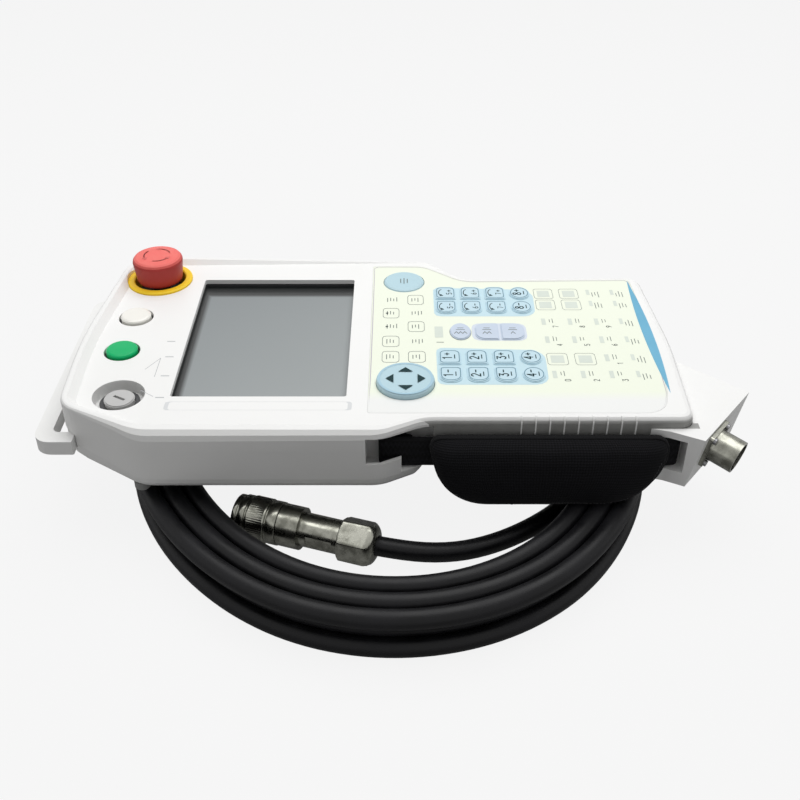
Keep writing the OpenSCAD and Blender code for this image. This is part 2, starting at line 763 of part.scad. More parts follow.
module enabling_switch_lever() color([0.30, 0.31, 0.33]) union() {
  trunnion(0);
  translate([0, lever_at.y + lever_w / 2, 0]) rotate([90, 0, 0]) linear_extrude(lever_w) union() {
    translate([hinge_x, hinge_z]) circle(r = 4);
    polygon([
      [hinge_x - 1, hinge_z + 4], [hinge_x + 14, -case_d + 2.2], [hinge_x + lever_l - 2, -case_d + 1.8],
      [hinge_x + lever_l + 0.5, -case_d - 1], [hinge_x + lever_l - 1, lever_z + 2.5],
      [hinge_x + lever_l - 6, lever_z + 0.6], [hinge_x + lever_l / 2, lever_z], [hinge_x + 12, lever_z + 0.8],
      [hinge_x + 2, -case_d - 2], [hinge_x - 4, hinge_z - 0.5],
    ]);
  }
}

// ---------- receptacle ----------
flange_holes = [for (x = [-1, 1]) for (y = [-1, 1]) [x * (flange_w / 2 - 2.5), y * (flange_w / 2 - 2.5)]];
module receptacle_shell() color(nickel) at_connector() difference() {
  union() {
    rounded_bar([flange_w, flange_w], 1.5, 0, flange_t);
    rod(barrel_d / 2 + 0.2, flange_t - eps, flange_t + 1.6);
    rod(barrel_d / 2, 0, flange_t + barrel_l);
    rod(conn_bore_r - 0.1, -9, eps);
  }
  rod(barrel_d / 2 - barrel_wall, flange_t + 2, flange_t + barrel_l + 1);
  rod(4, -17, flange_t + 3);
  for (p = flange_holes) translate(p) rod(1.3, -1, flange_t + 1);
}

module receptacle_insert() color(black) at_connector() union() {
  rod(barrel_d / 2 - barrel_wall - 0.1, flange_t + 2, flange_t + 5);
  rod(3.9, -8, flange_t + 2 + eps);
  for (n = [0:9]) rotate(n * 36) translate([5.8, 0, 0]) rod(0.6, flange_t + 5 - eps, flange_t + 10);
  for (n = [0:3]) rotate(n * 90 + 20) translate([2.4, 0, 0]) rod(0.6, flange_t + 5 - eps, flange_t + 10);
}

module receptacle_screws() color([0.5, 0.5, 0.5]) at_connector() for (p = flange_holes) translate(p) union() {
  rod(1.25, -8, flange_t + eps);
  rod(1.9, flange_t, flange_t + 1.4);
}

// ---------- fasteners and feet ----------
module housing_screws() color([0.45, 0.45, 0.47]) for (p = screw_at) translate(p) union() {
  rod(screw_r, screw_seat_z - eps, -face_t - 2);
  rod(screw_head_r, screw_seat_z - 2.4, screw_seat_z);
}

module rubber_feet() color([0.55, 0.56, 0.57]) for (p = foot_at) translate(p)
  rotate_extrude() polygon([
    [0, foot_z], [foot_r - 0.8, foot_z], [foot_r, foot_z + 0.8],
    [foot_r, -case_d], [0, -case_d],
  ]);

// ---------- hand strap ----------
webbing_y = anchor_y - anchor_d / 2 - 0.1 - webbing_t;
module strap_webbing() color(black) {
  h = webbing_w;
  r = anchor_d / 2 + 0.1;
  for (p = [head_anchor, tail_anchor]) translate([p.x, p.y, 0]) ring(r + webbing_t, r, webbing_z[0], webbing_z[1]);
  block([head_anchor.x, webbing_y, webbing_z[0]], [tail_anchor.x, webbing_y + webbing_t, webbing_z[1]]);
}

// The pad: its outline seen from the near side, cut by its bulging section.
pad_in = webbing_y - 0.3;
pad_out = pad_in - pad_t;
pad_bottom = foot_z + 0.2;
module strap_pad() color(black) intersection() {
  translate([0, pad_in + 5, 0]) rotate([90, 0, 0]) linear_extrude(pad_t + pad_lean + 10)
    polygon(path(outline([
      [33.5, pad_bottom, 20], [152, pad_bottom, 32], [160, -11.5, 3], [30, -11.5, 3],
    ])));
  translate([25, 0, 0]) rotate([90, 0, 90]) linear_extrude(140)
    polygon(path(outline([
      [pad_out - pad_lean, -49, 4], [pad_in - 4.5, -49, 3], [pad_in, -34, 20], [pad_in, -11, 1],
      [pad_out + 1, -11, 4], [pad_out - pad_lean, -27, 14],
    ])));
}

// ---------- cable ----------
coil_turn = 7;                 // the oval lies turned by this many degrees
coil_at = [0, -2, floor_z];
// The coil is an oval of four quarter turns, two wide ones along the sides and two tight ones at the ends.
coil_b = coil_a * coil_oval;
coil_c = (coil_b - coil_a) * (1 + sqrt(0.5));  // from the middle to the centre of each arc
module coil_quarter(r) rotate(-45) rotate_extrude(angle = 90, $fn = 96) polygon(path(outline([
  [r, 0, cable_d / 2], [r, coil_h, cable_d / 2], [r - coil_w, coil_h, cable_d / 2], [r - coil_w, 0, cable_d / 2],
], 4)));
module cable_coil() color(black) translate(coil_at) rotate(coil_turn) union() {
  for (half = [0, 180]) rotate(half) {
    translate([-coil_c, 0, 0]) coil_quarter(coil_a + coil_c);
    translate([0, coil_c, 0]) rotate(90) coil_quarter(coil_b - coil_c);
  }
}

// Points of the cable between the coil and each plug, as [x, y, height of the middle above the floor].
lead_route = [
  [-7, -118, 13.5], [-4, -119, 13.5], [16, -124, 11], [36, -120.5, 7], [56, -113, 5.75],
  [76, -103.5, 5.75], [95, -90, 5.75], [111, -74, 5.75], [123, -56, 5.75],
];
tail_route = [
  [-72, 20, 13.5], [-75, 20, 13.5], [-95, 24, 9.5], [-112, 36, 6], [-122, 54, 5.75], [-127, 74, 5.75],
];
plug_axis = 13.5;              // height of a plug's axis above the floor
module sweep_tube(route, d, sides = 10) {
  pts = [for (p = route) [p.x, p.y, floor_z + p.z]];
  m = len(pts);
  dirs = [for (i = [0:m - 1]) unit(pts[min(i + 1, m - 1)] - pts[max(i - 1, 0)])];
  rings = [
    for (i = [0:m - 1])
      let (side = unit(cross([0, 0, 1], dirs[i])), up = cross(dirs[i], side))
      [for (k = [0:sides - 1]) pts[i] + d / 2 * (cos(360 * k / sides) * side + sin(360 * k / sides) * up)]
  ];
  loft(rings);
}
module cable_lead() color(black) sweep_tube(lead_route, cable_d);
module cable_tail() color(black) sweep_tube(tail_route, cable_d);

// ---------- plugs ----------
// A plug lies along +Z of its own frame, mating end at 0, cable end at plug_l.
module at_plug(route) {
  p = route[0];
  dir = route[0] - route[1];
  translate([p.x, p.y, floor_z + plug_axis]) rotate([0, 0, atan2(dir.y, dir.x)])
    translate([plug_l - 3, 0, 0]) rotate([0, -90, 0]) children();
}
shell_r = 10.9;                // body that the coupling ring turns on
ring_z = [3, 28];
module plug_shell_form() difference() {
  union() {
    rod(shell_r, 0, ring_z[1] + 0.3);
    rod(shell_r + 1.6, ring_z[1] + 0.3, 41);
    rod(10, 41 - eps, 66);
    rod(8, 66 - eps, plug_l - 3);
  }
  rod(shell_r - 1.4, -1, 9);
  for (side = [-1, 1]) block([-12, side * 10.6 - 1.2, 46], [12, side * 10.6 + 1.2, 62]);
}
module plug_insert_form() union() {
  rod(shell_r - 1.5, 2, 9);
  for (n = [0:9]) rotate(n * 36) translate([6.6, 0, 0]) ring(1.1, 0.6, 0.8, 2 + eps);
}
module plug_ring_form() difference() {
  union() {
    rod(ring_d / 2 - 1, ring_z[0], 9);
    rod(ring_d / 2 - 0.3, 9 - eps, 19);
    for (n = [0:29]) rotate(n * 12) translate([ring_d / 2 - 0.8, -0.6, 9]) cube([0.8, 1.2, 9]);
    rod(ring_d / 2 - 1.1, 19 - eps, ring_z[1]);
  }
  rod(shell_r + fit, -1, plug_l);
}
module plug_nut_form() difference() {
  union() {
    translate([0, 0, 66.3]) cylinder(h = 13, r = 13.3, $fn = 6);
    rod(10.6, 79, plug_l);
  }
  rod(8 + fit, 60, plug_l - 3);
  rod(cable_d / 2 + 0.1, 60, plug_l + 1);
}
module plug_shell() color(nickel) at_plug(lead_route) plug_shell_form();
module plug_insert() color(black) at_plug(lead_route) plug_insert_form();
module plug_ring() color(nickel) at_plug(lead_route) plug_ring_form();
module plug_nut() color(nickel) at_plug(lead_route) plug_nut_form();
module far_plug_shell() color(nickel) at_plug(tail_route) plug_shell_form();
module far_plug_insert() color(black) at_plug(tail_route) plug_insert_form();
module far_plug_ring() color(nickel) at_plug(tail_route) plug_ring_form();
module far_plug_nut() color(nickel) at_plug(tail_route) plug_nut_form();

// ---------- the part ----------
translate(-origin) {
  front_cover();
  rear_cover();
  hanging_loop();
  screen_gasket();
  touch_panel();
  lcd_module();
  main_board();
  keypad_overlay();
  keypad_board();
  housing_screws();
  rubber_feet();
  estop_collar();
  estop_body();
  estop_plunger();
  estop_head();
  hold_button();
  start_button();
  pushbutton_switches();
  mode_switch_body();
  mode_switch_bezel();
  mode_switch_rotor();
  enabling_switch_body();
  enabling_switch_lever();
  receptacle_shell();
  receptacle_insert();
  receptacle_screws();
  strap_webbing();
  strap_pad();
  cable_coil();
  cable_lead();
  cable_tail();
  plug_shell();
  plug_insert();
  plug_ring();
  plug_nut();
  far_plug_shell();
  far_plug_insert();
  far_plug_ring();
  far_plug_nut();
  select_key();
  cursor_key();
  speed_key(0);  // high_speed_key
  speed_key(1);  // fast_key
  speed_key(2);  // slow_key
  for (n = [0:7]) {
    axis_key(n, 0);
    axis_key(n, 1);
  }
}
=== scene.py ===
# %% [markdown]
# # A teach pendant for a robot
# The pendant is a flat white case that an operator holds in one hand. It has a screen on its left,
# a printed key sheet on its right, an emergency stop in one corner, and a padded strap along the
# near edge of its handle. It lies on its own coiled cable.
# The case, keys and plugs come ready as solids in one fixed frame. This file gives them their
# finishes, and adds what a solid can't hold: cable, cloth, prints and small marks.

import json
from math import atan2, cos, pi, radians, sin

import bmesh
import bpy
import numpy as np
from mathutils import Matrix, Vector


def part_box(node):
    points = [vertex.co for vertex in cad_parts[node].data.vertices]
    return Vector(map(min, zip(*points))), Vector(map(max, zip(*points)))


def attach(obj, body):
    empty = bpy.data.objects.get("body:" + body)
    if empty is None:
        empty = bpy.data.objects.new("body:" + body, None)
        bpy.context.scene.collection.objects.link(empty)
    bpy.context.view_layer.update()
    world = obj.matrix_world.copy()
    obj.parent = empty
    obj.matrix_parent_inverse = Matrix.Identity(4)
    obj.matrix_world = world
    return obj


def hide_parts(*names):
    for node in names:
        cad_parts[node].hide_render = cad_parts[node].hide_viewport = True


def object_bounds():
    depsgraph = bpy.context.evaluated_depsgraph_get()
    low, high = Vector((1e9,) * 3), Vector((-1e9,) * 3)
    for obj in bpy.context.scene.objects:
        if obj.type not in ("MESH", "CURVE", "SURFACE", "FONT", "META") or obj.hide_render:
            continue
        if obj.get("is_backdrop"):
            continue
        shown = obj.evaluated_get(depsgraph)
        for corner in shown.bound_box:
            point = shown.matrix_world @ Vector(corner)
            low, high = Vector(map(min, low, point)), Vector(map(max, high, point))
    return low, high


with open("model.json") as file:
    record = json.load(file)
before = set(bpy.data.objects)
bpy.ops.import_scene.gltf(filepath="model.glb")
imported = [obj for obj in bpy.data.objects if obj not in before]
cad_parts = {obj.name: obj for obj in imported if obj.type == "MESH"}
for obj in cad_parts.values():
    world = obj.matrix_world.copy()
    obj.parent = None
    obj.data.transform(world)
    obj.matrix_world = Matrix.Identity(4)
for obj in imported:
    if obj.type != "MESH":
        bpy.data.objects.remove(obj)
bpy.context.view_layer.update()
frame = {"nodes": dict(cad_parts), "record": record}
nodes = frame["nodes"]

# %% [markdown]
# A maker's drawing has its zero on the face of the pendant, not in the middle of its box. The key
# sheet's left edge is at x = -10 mm and its top is at z = 0, and the front cover is centred on
# y = 0. Four sides of two solids are therefore enough to find that zero again.

# %% Drawing coordinates
sheet_low, sheet_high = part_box("keypad_overlay")
cover_low, cover_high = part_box("front_cover")
MM = 1000
SHEET_LEFT = -10
ZERO = MM * np.array([sheet_low[0], (cover_low[1] + cover_high[1]) / 2, sheet_high[2]]) - [SHEET_LEFT, 0, 0]


def at(points):
    """Drawing millimetres to metres of the frame: add the zero, divide by 1000."""
    return (np.asarray(points, float) + ZERO) / MM


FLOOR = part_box("cable_coil")[0][2] * MM - ZERO[2]
print("drawing zero", np.round(ZERO, 2), "mm, floor at", round(FLOOR, 2), "mm")

# %% [markdown]
# ## Camera, floor and light
# The pendant is looked at from in front and from 35 degrees above. The camera is made first. One large soft
# lamp above and slightly behind gives bright upper faces and calmer walls, as in a light tent. The floor
# and the world show white to the camera through the Light Path node, so the lamp can stay at a plain level.

# %% Camera
camera = bpy.data.objects.new("camera", bpy.data.cameras.new("camera"))
bpy.context.collection.objects.link(camera)
camera.location = at([8.2, -556.35, 346])
camera.rotation_euler = (radians(54.6), 0, 0)
camera.data.lens = 47.25
camera.data.sensor_width = 36
camera.data.clip_start, camera.data.clip_end = 0.01, 20
bpy.context.scene.camera = camera
bpy.context.scene.view_settings.view_transform = "Standard"
print("camera with a lens of", round(camera.data.lens, 2), "mm, at", np.round(camera.location, 3))

# %% [markdown]
# Shader maths reads best as plain expressions. The class Value wraps one socket, and its
# operators add the Math nodes.


# %% Shader expressions
class Value:
    """A number socket of a finish: a + b, a - b, a * b and a / b add Math nodes."""

    def __init__(self, finish, socket):
        self.finish, self.socket = finish, socket

    def math(self, operation, first, second=None):
        values = {0: first} if second is None else {0: first, 1: second}
        return self.finish.node("ShaderNodeMath", {"operation": operation}, values)

    def __add__(self, other):
        return self.math("ADD", self, other)

    def __radd__(self, other):
        return self.math("ADD", other, self)

    def __sub__(self, other):
        return self.math("SUBTRACT", self, other)

    def __rsub__(self, other):
        return self.math("SUBTRACT", other, self)

    def __mul__(self, other):
        return self.math("MULTIPLY", self, other)

    def __rmul__(self, other):
        return self.math("MULTIPLY", other, self)

    def __truediv__(self, other):
        return self.math("DIVIDE", self, other)

    def __rtruediv__(self, other):
        return self.math("DIVIDE", other, self)

    def sine(self):
        return self.math("SINE", self)

    def over(self, level):
        return self.math("GREATER_THAN", self, level)


print("shader expressions are ready")

# %% [markdown]
# The class Finish wraps one material with its Principled shader. set() fills the shader's sockets,
# node() adds any node, and the short methods below it are the few nodes that every finish here needs:
# object coordinates, noise, a mix of two colours, a range and a bump.


# %% Finishes
def colour(rgb):
    """A colour as it is seen, '#rrggbb', to the linear numbers that a shader takes."""
    c = np.array([int(rgb[i : i + 2], 16) for i in (1, 3, 5)]) / 255
    return tuple(np.where(c <= 0.04045, c / 12.92, ((c + 0.055) / 1.055) ** 2.4)) + (1.0,)


class Finish:
    """A material with one Principled shader, built from nodes."""

    def __init__(self, name, base, rough, **fixed):
        self.material = bpy.data.materials.new(name)
        self.material.use_nodes = True
        self.tree = self.material.node_tree
        self.shader = self.tree.nodes["Principled BSDF"]
        self.set(Base_Color=colour(base), Roughness=rough, **fixed)

    def feed(self, socket, value):
        if isinstance(value, Value):
            self.tree.links.new(value.socket, socket)
        else:
            socket.default_value = value

    def set(self, **values):
        """Feeds the shader's sockets: Base_Color=... goes to the socket "Base Color"."""
        for name, value in values.items():
            self.feed(self.shader.inputs[name.replace("_", " ")], value)
        return self

    def node(self, kind, settings=None, values=None, out=0):
        """Adds a node: its settings and ramp stops first, then the values or links of its sockets."""
        made = self.tree.nodes.new(kind)
        for name, value in (settings or {}).items():
            if name == "stops":
                ramp = made.color_ramp.elements
                while len(ramp) < len(value):
                    ramp.new(1.0)
                for element, (place, shade) in zip(ramp, value):
                    element.position, element.color = place, shade
            else:
                setattr(made, name, value)
        for name, value in (values or {}).items():
            self.feed(made.inputs[name], value)
        return Value(self, made.outputs[out])

    def place(self, out="Object"):
        return self.node("ShaderNodeTexCoord", out=out)

    def axes(self, out="Object"):
        split = self.node("ShaderNodeSeparateXYZ", values={0: self.place(out)})
        outputs = split.socket.node.outputs
        return [Value(self, outputs[i]) for i in range(3)]

    def noise(self, scale, detail=2.0, rough=0.5):
        return self.node(
            "ShaderNodeTexNoise",
            values={"Vector": self.place(), "Scale": scale, "Detail": detail, "Roughness": rough},
        )

    def mix(self, share, first, second):
        return self.node("ShaderNodeMix", {"data_type": "RGBA"}, {0: share, 6: first, 7: second}, out=2)

    def between(self, value, low, high, to_low=0.0, to_high=1.0):
        values = {0: value, 1: low, 2: high, 3: to_low, 4: to_high}
        return self.node("ShaderNodeMapRange", {"clamp": True}, values)

    def bump(self, height, distance, strength=1.0):
        values = {"Height": height, "Distance": distance, "Strength": strength}
        self.set(Normal=self.node("ShaderNodeBump", values=values))
        return self


print("finishes are ready")

# %% [markdown]
# The floor is one large sheet of pale paper, two tenths of a millimetre under the cable. To the camera
# it is mostly plain white light, so that it looks like a studio sweep, and the rest is lit paper, which
# keeps the pendant's shadow. A small part is white to reflections as well, so that metal shows it.

# %% Floor
HALF_FLOOR = 6.0
FLOOR_GAP = 0.0002
WHITE_TO_CAMERA, WHITE_TO_GLOSS = 0.88, 0.12
floor = bpy.data.objects.new("floor", bpy.data.meshes.new("floor"))
floor_z = at([0, 0, FLOOR])[2] - FLOOR_GAP
corners = [(x * HALF_FLOOR, y * HALF_FLOOR, floor_z) for x, y in ((-1, -1), (1, -1), (1, 1), (-1, 1))]
floor.data.from_pydata(corners, [], [(0, 1, 2, 3)])
bpy.context.collection.objects.link(floor)
floor_finish = Finish("floor paper", "#a8a8a8", 0.9)
camera_ray = floor_finish.node("ShaderNodeLightPath", out="Is Camera Ray")
glossy_ray = floor_finish.node("ShaderNodeLightPath", out="Is Glossy Ray")
white = floor_finish.node("ShaderNodeEmission", values={"Color": (1, 1, 1, 1), "Strength": 1.0})
lit = Value(floor_finish, floor_finish.shader.outputs[0])
whiteness = camera_ray * WHITE_TO_CAMERA + glossy_ray * WHITE_TO_GLOSS
shown = floor_finish.node("ShaderNodeMixShader", values={0: whiteness, 1: lit, 2: white})
floor_finish.feed(floor_finish.tree.nodes["Material Output"].inputs["Surface"], shown)
floor.data.materials.append(floor_finish.material)
floor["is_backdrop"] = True
print("floor at", round(floor_z, 4), "m")

# %% [markdown]
# The world is a dim white room that fills the shadows, and full white where the camera, a reflection
# or a ray through glass looks straight at it. The largest of the three ray flags picks between the
# two.

# %% World
ROOM_LIGHT = 0.31
world = bpy.data.worlds.new("studio")
bpy.context.scene.world = world
world.use_nodes = True
wires = world.node_tree.links
world.node_tree.nodes.clear()


def world_node(kind, strength=None, operation=None):
    """A node of the world: strength makes it a white background, operation a Math node."""
    made = world.node_tree.nodes.new("ShaderNode" + kind)
    if strength is not None:
        made.inputs[0].default_value, made.inputs[1].default_value = (1, 1, 1, 1), strength
    if operation:
        made.operation = operation
    return made


ray = world_node("LightPath")
dim, bright = (world_node("Background", strength) for strength in (ROOM_LIGHT, 1.0))
seen, mirrored = (world_node("Math", operation="MAXIMUM") for _ in range(2))
both, room = world_node("MixShader"), world_node("OutputWorld")
for source, target in (
    (ray.outputs["Is Camera Ray"], seen.inputs[0]),
    (ray.outputs["Is Glossy Ray"], mirrored.inputs[0]),
    (ray.outputs["Is Transmission Ray"], mirrored.inputs[1]),
    (mirrored.outputs[0], seen.inputs[1]),
    (seen.outputs[0], both.inputs[0]),
    (dim.outputs[0], both.inputs[1]),
    (bright.outputs[0], both.inputs[2]),
    (both.outputs[0], room.inputs[0]),
):
    wires.new(source, target)
print("world of strength", ROOM_LIGHT)

# %% [markdown]
# One broad lamp does the rest. It hangs most of a metre above the pendant, a little behind it, and
# leans forward, so the upper faces are bright and the near wall falls into a soft grey.

# %% Lamp
lamp = bpy.data.objects.new("overhead_lamp", bpy.data.lights.new("overhead_lamp", "AREA"))
lamp.data.shape, lamp.data.size, lamp.data.size_y = "RECTANGLE", 1.3, 1.0
lamp.data.energy = 10.6
lamp.location = at([60, 240, 930])
lamp.rotation_euler = (radians(-14), radians(3), 0)
bpy.context.collection.objects.link(lamp)
print("one lamp of", round(lamp.data.energy, 1), "W")

# %% [markdown]
# ## Finishes of the hard pieces
# Moulded plastic is never quite smooth: the mould is spark-eroded, so a fine grain breaks up its
# highlights, and handling leaves it a little darker here and there. Both come from noise in
# object coordinates, which stay with the piece when it moves. The paint() helper puts a finish on
# solids by their names.


# %% Plastic
def paint(finish, *names):
    for name in names:
        for place in nodes[name].material_slots:
            place.material = finish.material
    print(finish.material.name, "on", len(names), "solids")


def moulded(name, base, rough, grain=9000, depth=0.00004, soil=0.04, **fixed):
    """A moulded plastic: fine grain as bump, slow patches of slightly darker, rougher surface."""
    f = Finish(name, base, rough, **fixed)
    patch = f.between(f.noise(38, 5, 0.6), 0.35, 0.7)
    shade = tuple(c * (1 - 2.2 * soil) for c in colour(base)[:3]) + (1.0,)
    f.set(Base_Color=f.mix(patch * 0.6, colour(base), shade), Roughness=patch * 0.08 + rough)
    return f.bump(f.noise(grain, 2), depth, 0.35)


print("moulded plastic is ready")

# %% [markdown]
# The case is white. Along the near edge of its handle, between the finger ribs, runs a greyer band of
# painted shade: there the wall is set back under the rounded top edge and beside the dark pad, so it lies
# in shade. The band is a box in drawing metres: full between two places on x and on y, with soft limits on
# z.

# %% Case and inner pieces
GRIP_X, GRIP_Y = (0.003, 0.176), (-0.0873, -0.0822)
GRIP_BEGINS, GRIP_ENDS = (0.0008, 0.0035), (-0.0175, -0.0165)
housing = moulded("housing plastic", "#f0f0ef", 0.42, soil=0.02)
x, y, z = (axis - zero / MM for axis, zero in zip(housing.axes(), ZERO))
# painted shade: a grey band on the set-back wall of the handle, between the finger ribs
painted_grip_shade = x.over(GRIP_X[0]) * (1 - x.over(GRIP_X[1]))
painted_grip_shade = painted_grip_shade * (1 - y.over(GRIP_Y[1])) * y.over(GRIP_Y[0])
painted_grip_shade = painted_grip_shade * housing.between(z * -1.0, *GRIP_BEGINS) * housing.between(z, *GRIP_ENDS)
shade_unevenness = housing.between(housing.noise(90, 4, 0.6), 0.3, 0.7)
unshaded_white = housing.mix(housing.noise(30, 3), colour("#f1f1f0"), colour("#ededeb"))
# the grey #80807d mixed in here is painted shade, a little uneven in strength
housing.set(
    Base_Color=housing.mix(painted_grip_shade * (shade_unevenness * 0.1 + 0.85), unshaded_white, colour("#80807d")),
    Coat_Weight=0.12,
    Coat_Roughness=0.3,
)
paint(housing, "front_cover", "rear_cover", "hanging_loop")
paint(moulded("switch black", "#1d1d1f", 0.45), "pushbutton_switches", "mode_switch_body", "estop_body")
paint(moulded("lever grey", "#4b4d50", 0.5), "enabling_switch_lever", "enabling_switch_body")
paint(moulded("foot rubber", "#8d8d8c", 0.8, grain=2500), "rubber_feet")
paint(moulded("seal rubber", "#2b2d2e", 0.6), "screen_gasket")
paint(moulded("insulator", "#3a3532", 0.55), "receptacle_insert", "plug_insert", "far_plug_insert")
paint(moulded("display tray", "#7b7f80", 0.5), "lcd_module")
paint(moulded("circuit board", "#1d6a45", 0.45), "main_board", "keypad_board")
paint(moulded("plunger grey", "#5a5a5c", 0.45), "estop_plunger")

# %% [markdown]
# The emergency stop is the one loud piece: a red mushroom on a yellow collar. Its top is painted paler than
# its side, a painted highlight where it faces the lamp: the red is mixed by how far the surface points
# upwards, read from the normal. Slow patches of wear lighten the top a little more.

# %% Stop button, push buttons, mode switch
stop_red = moulded("stop button red", "#d9534c", 0.38, soil=0.05)
up = stop_red.node("ShaderNodeSeparateXYZ", values={0: stop_red.place("Normal")}, out=2)
worn = stop_red.between(stop_red.noise(160, 4, 0.6), 0.42, 0.62)
# painted highlight: faces that point upwards are painted a paler red
top = stop_red.between(up, 0.25, 0.95)
red = stop_red.mix(top, colour("#b43c38"), colour("#ec6f68"))
red = stop_red.mix(worn * top * 0.25, red, colour("#ef857b"))
stop_red.set(Base_Color=red, Specular_IOR_Level=0.22)
paint(stop_red, "estop_head")
yellow = moulded("collar yellow", "#fbd22c", 0.42, soil=0.03, Specular_IOR_Level=0.25)
paint(yellow, "estop_collar")
paint(moulded("button green", "#00b46a", 0.3, depth=0.00001, Specular_IOR_Level=0.2), "start_button")
paint(moulded("button white", "#f1efe8", 0.3, depth=0.00001, Coat_Weight=0.4), "hold_button")
paint(moulded("switch ring", "#26272a", 0.35), "mode_switch_bezel")
paint(moulded("rotor grey", "#bcbcbb", 0.38), "mode_switch_rotor")

# %% [markdown]
# The plugs and the receptacle are nickel-plated brass. Nickel is a warm grey metal. Turning leaves
# fine rings on it, and dirt stays in its corners, so its roughness and its colour vary slowly.

# %% Nickel and steel
nickel = Finish("nickel plate", "#8f8f86", 0.24, Metallic=1.0)
dull = nickel.between(nickel.noise(160, 4, 0.55), 0.4, 0.66)
nickel.set(
    Base_Color=nickel.mix(dull, colour("#96968d"), colour("#6e6e66")),
    Roughness=dull * 0.12 + 0.2,
)
nickel.bump(nickel.noise(2600, 3), 0.00003, 0.4)
paint(nickel, "plug_shell", "plug_ring", "plug_nut", "far_plug_shell", "far_plug_ring", "far_plug_nut")
paint(nickel, "receptacle_shell")
steel = Finish("screw steel", "#7d7d7f", 0.35, Metallic=1.0)
steel.set(Roughness=steel.noise(500, 3) * 0.2 + 0.25)
paint(steel, "housing_screws", "receptacle_screws")

# %% [markdown]
# The screen is off. Its touch panel is a matt grey film over glass. Its colour holds a painted reflection
# of the bright room, lighter towards one corner, and its roughness has faint smears from fingers. Along its
# far and left edges, deep in the frame, painted shade makes it nearly black.

# %% Screen
screen = Finish("screen film", "#8f9596", 0.3, Coat_Weight=0.25, Coat_Roughness=0.12)
x, y, z = screen.axes()
# painted reflection: the film's grey grows lighter towards one corner
painted_reflection = screen.between(x * 0.6 - y * 0.8, -0.12, 0.12)
glass_low, glass_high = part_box("touch_panel")
FAR_BORDER, LEFT_BORDER, BORDER_BLUR = 0.0170, 0.0080, 0.0015
# painted shade: a nearly black band along the far and left edges, inside the frame
far_edge = screen.between(
    y, glass_high[1] - FAR_BORDER - BORDER_BLUR, glass_high[1] - FAR_BORDER + BORDER_BLUR
)
left_edge = screen.between(
    x * -1.0, -glass_low[0] - LEFT_BORDER - BORDER_BLUR, -glass_low[0] - LEFT_BORDER + BORDER_BLUR
)
# the painted shade band is the larger of the two edge masks
border = screen.node("ShaderNodeMath", {"operation": "MAXIMUM"}, {0: far_edge, 1: left_edge})
grey = screen.mix(painted_reflection, colour("#7c8284"), colour("#a3a8a8"))
screen.set(
    Base_Color=screen.mix(border, grey, colour("#0e1212")),
    Roughness=screen.noise(22, 4, 0.6) * 0.06 + 0.26,
)
paint(screen, "touch_panel")

# %% [markdown]
# ## Surfaces from numbers
# A new piece is a grid of points worked out with numpy. skin() joins the grid's neighbours with
# quads. It can close the grid across u and v, cap its two ends, and it keeps u and v as a UV map,
# so that a weave can follow the cloth.


# %% From a grid to a mesh
def skin(name, grid, finish, body="root", round_u=False, round_v=False, caps=False, size=(1, 1)):
    """grid[i, j] is a point; quads join i to i+1 and j to j+1. UV = (i, j) spread over size."""
    n, m = grid.shape[:2]
    i = np.arange(n if round_u else n - 1)
    j = np.arange(m if round_v else m - 1)
    a, b = np.meshgrid(i, j, indexing="ij")
    a, b = a.ravel(), b.ravel()
    a2, b2 = (a + 1) % n, (b + 1) % m
    faces = np.stack([a * m + b, a2 * m + b, a2 * m + b2, a * m + b2], 1).tolist()
    if caps:
        faces += [list(range(m))[::-1], list(range((n - 1) * m, n * m))]
    mesh = bpy.data.meshes.new(name)
    mesh.from_pydata(at(grid).reshape(-1, 3).tolist(), [], faces)
    uv = np.zeros((len(mesh.loops), 2))
    corner_u = np.stack([a, a + 1, a + 1, a], 1).ravel() / max(len(i), 1) * size[0]
    corner_v = np.stack([b, b, b + 1, b + 1], 1).ravel() / max(len(j), 1) * size[1]
    uv[: len(corner_u)] = np.stack([corner_u, corner_v], 1)
    mesh.uv_layers.new(name="cloth").data.foreach_set("uv", uv.ravel())
    mesh.shade_smooth()
    return piece(name, mesh, finish, body)


def body_of(node):
    """The name of the body that holds a solid."""
    return next(b for b, held in frame["record"]["behaviour"]["bodies"].items() if node in held)


def piece(name, mesh, finish, body="root"):
    """Links a mesh as an object that rides on a body and takes its finish from a slot."""
    made = bpy.data.objects.new(name, mesh)
    bpy.context.collection.objects.link(made)
    mesh.materials.append(finish.material)
    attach(made, body)
    return made


def outward(made):
    """Merges doubled points and turns every face of a closed piece outwards."""
    work = bmesh.new()
    work.from_mesh(made.data)
    bmesh.ops.remove_doubles(work, verts=work.verts, dist=1e-6)
    bmesh.ops.recalc_face_normals(work, faces=work.faces)
    work.to_mesh(made.data)
    work.free()
    made.data.shade_smooth()
    return made


print("grids become meshes")

# %% [markdown]
# ## The cable
# The cable is 7.6 m of rubber-jacketed line, 11.5 mm thick. It leaves the far plug, lies in an oval
# coil of three layers, and comes out at the right to the near plug. Its line is one long curve: an
# angle that grows turn by turn, and for each turn a slot of the stack, given by how far it stands in
# from the outer edge and its height. Every change of slot is a smooth step at the far side, a little
# earlier on each turn, so that neighbouring strands shift side by side.


# %% The line of the cable
def smooth_step(t):
    """3t^2 - 2t^3 between 0 and 1."""
    t = np.clip(t, 0, 1)
    return t * t * (3 - 2 * t)


OVAL_A, OVAL_B, OVAL_TURN, OVAL_MIDDLE = 165.0, 191.4, radians(7), np.array([0.0, -2.0])
OVAL_C = (OVAL_B - OVAL_A) * (1 + 0.5**0.5)
FAR_SIDE_IN = 9
CABLE_D = 11.5
SLOTS = [(28.75, 5.75), (17.25, 5.75), (5.75, 5.75), (11.5, 15.71), (23, 15.71)]
SLOTS += [(5.75, 25.67), (17.25, 25.67), (28.75, 25.67), (40.25, 5.75)]


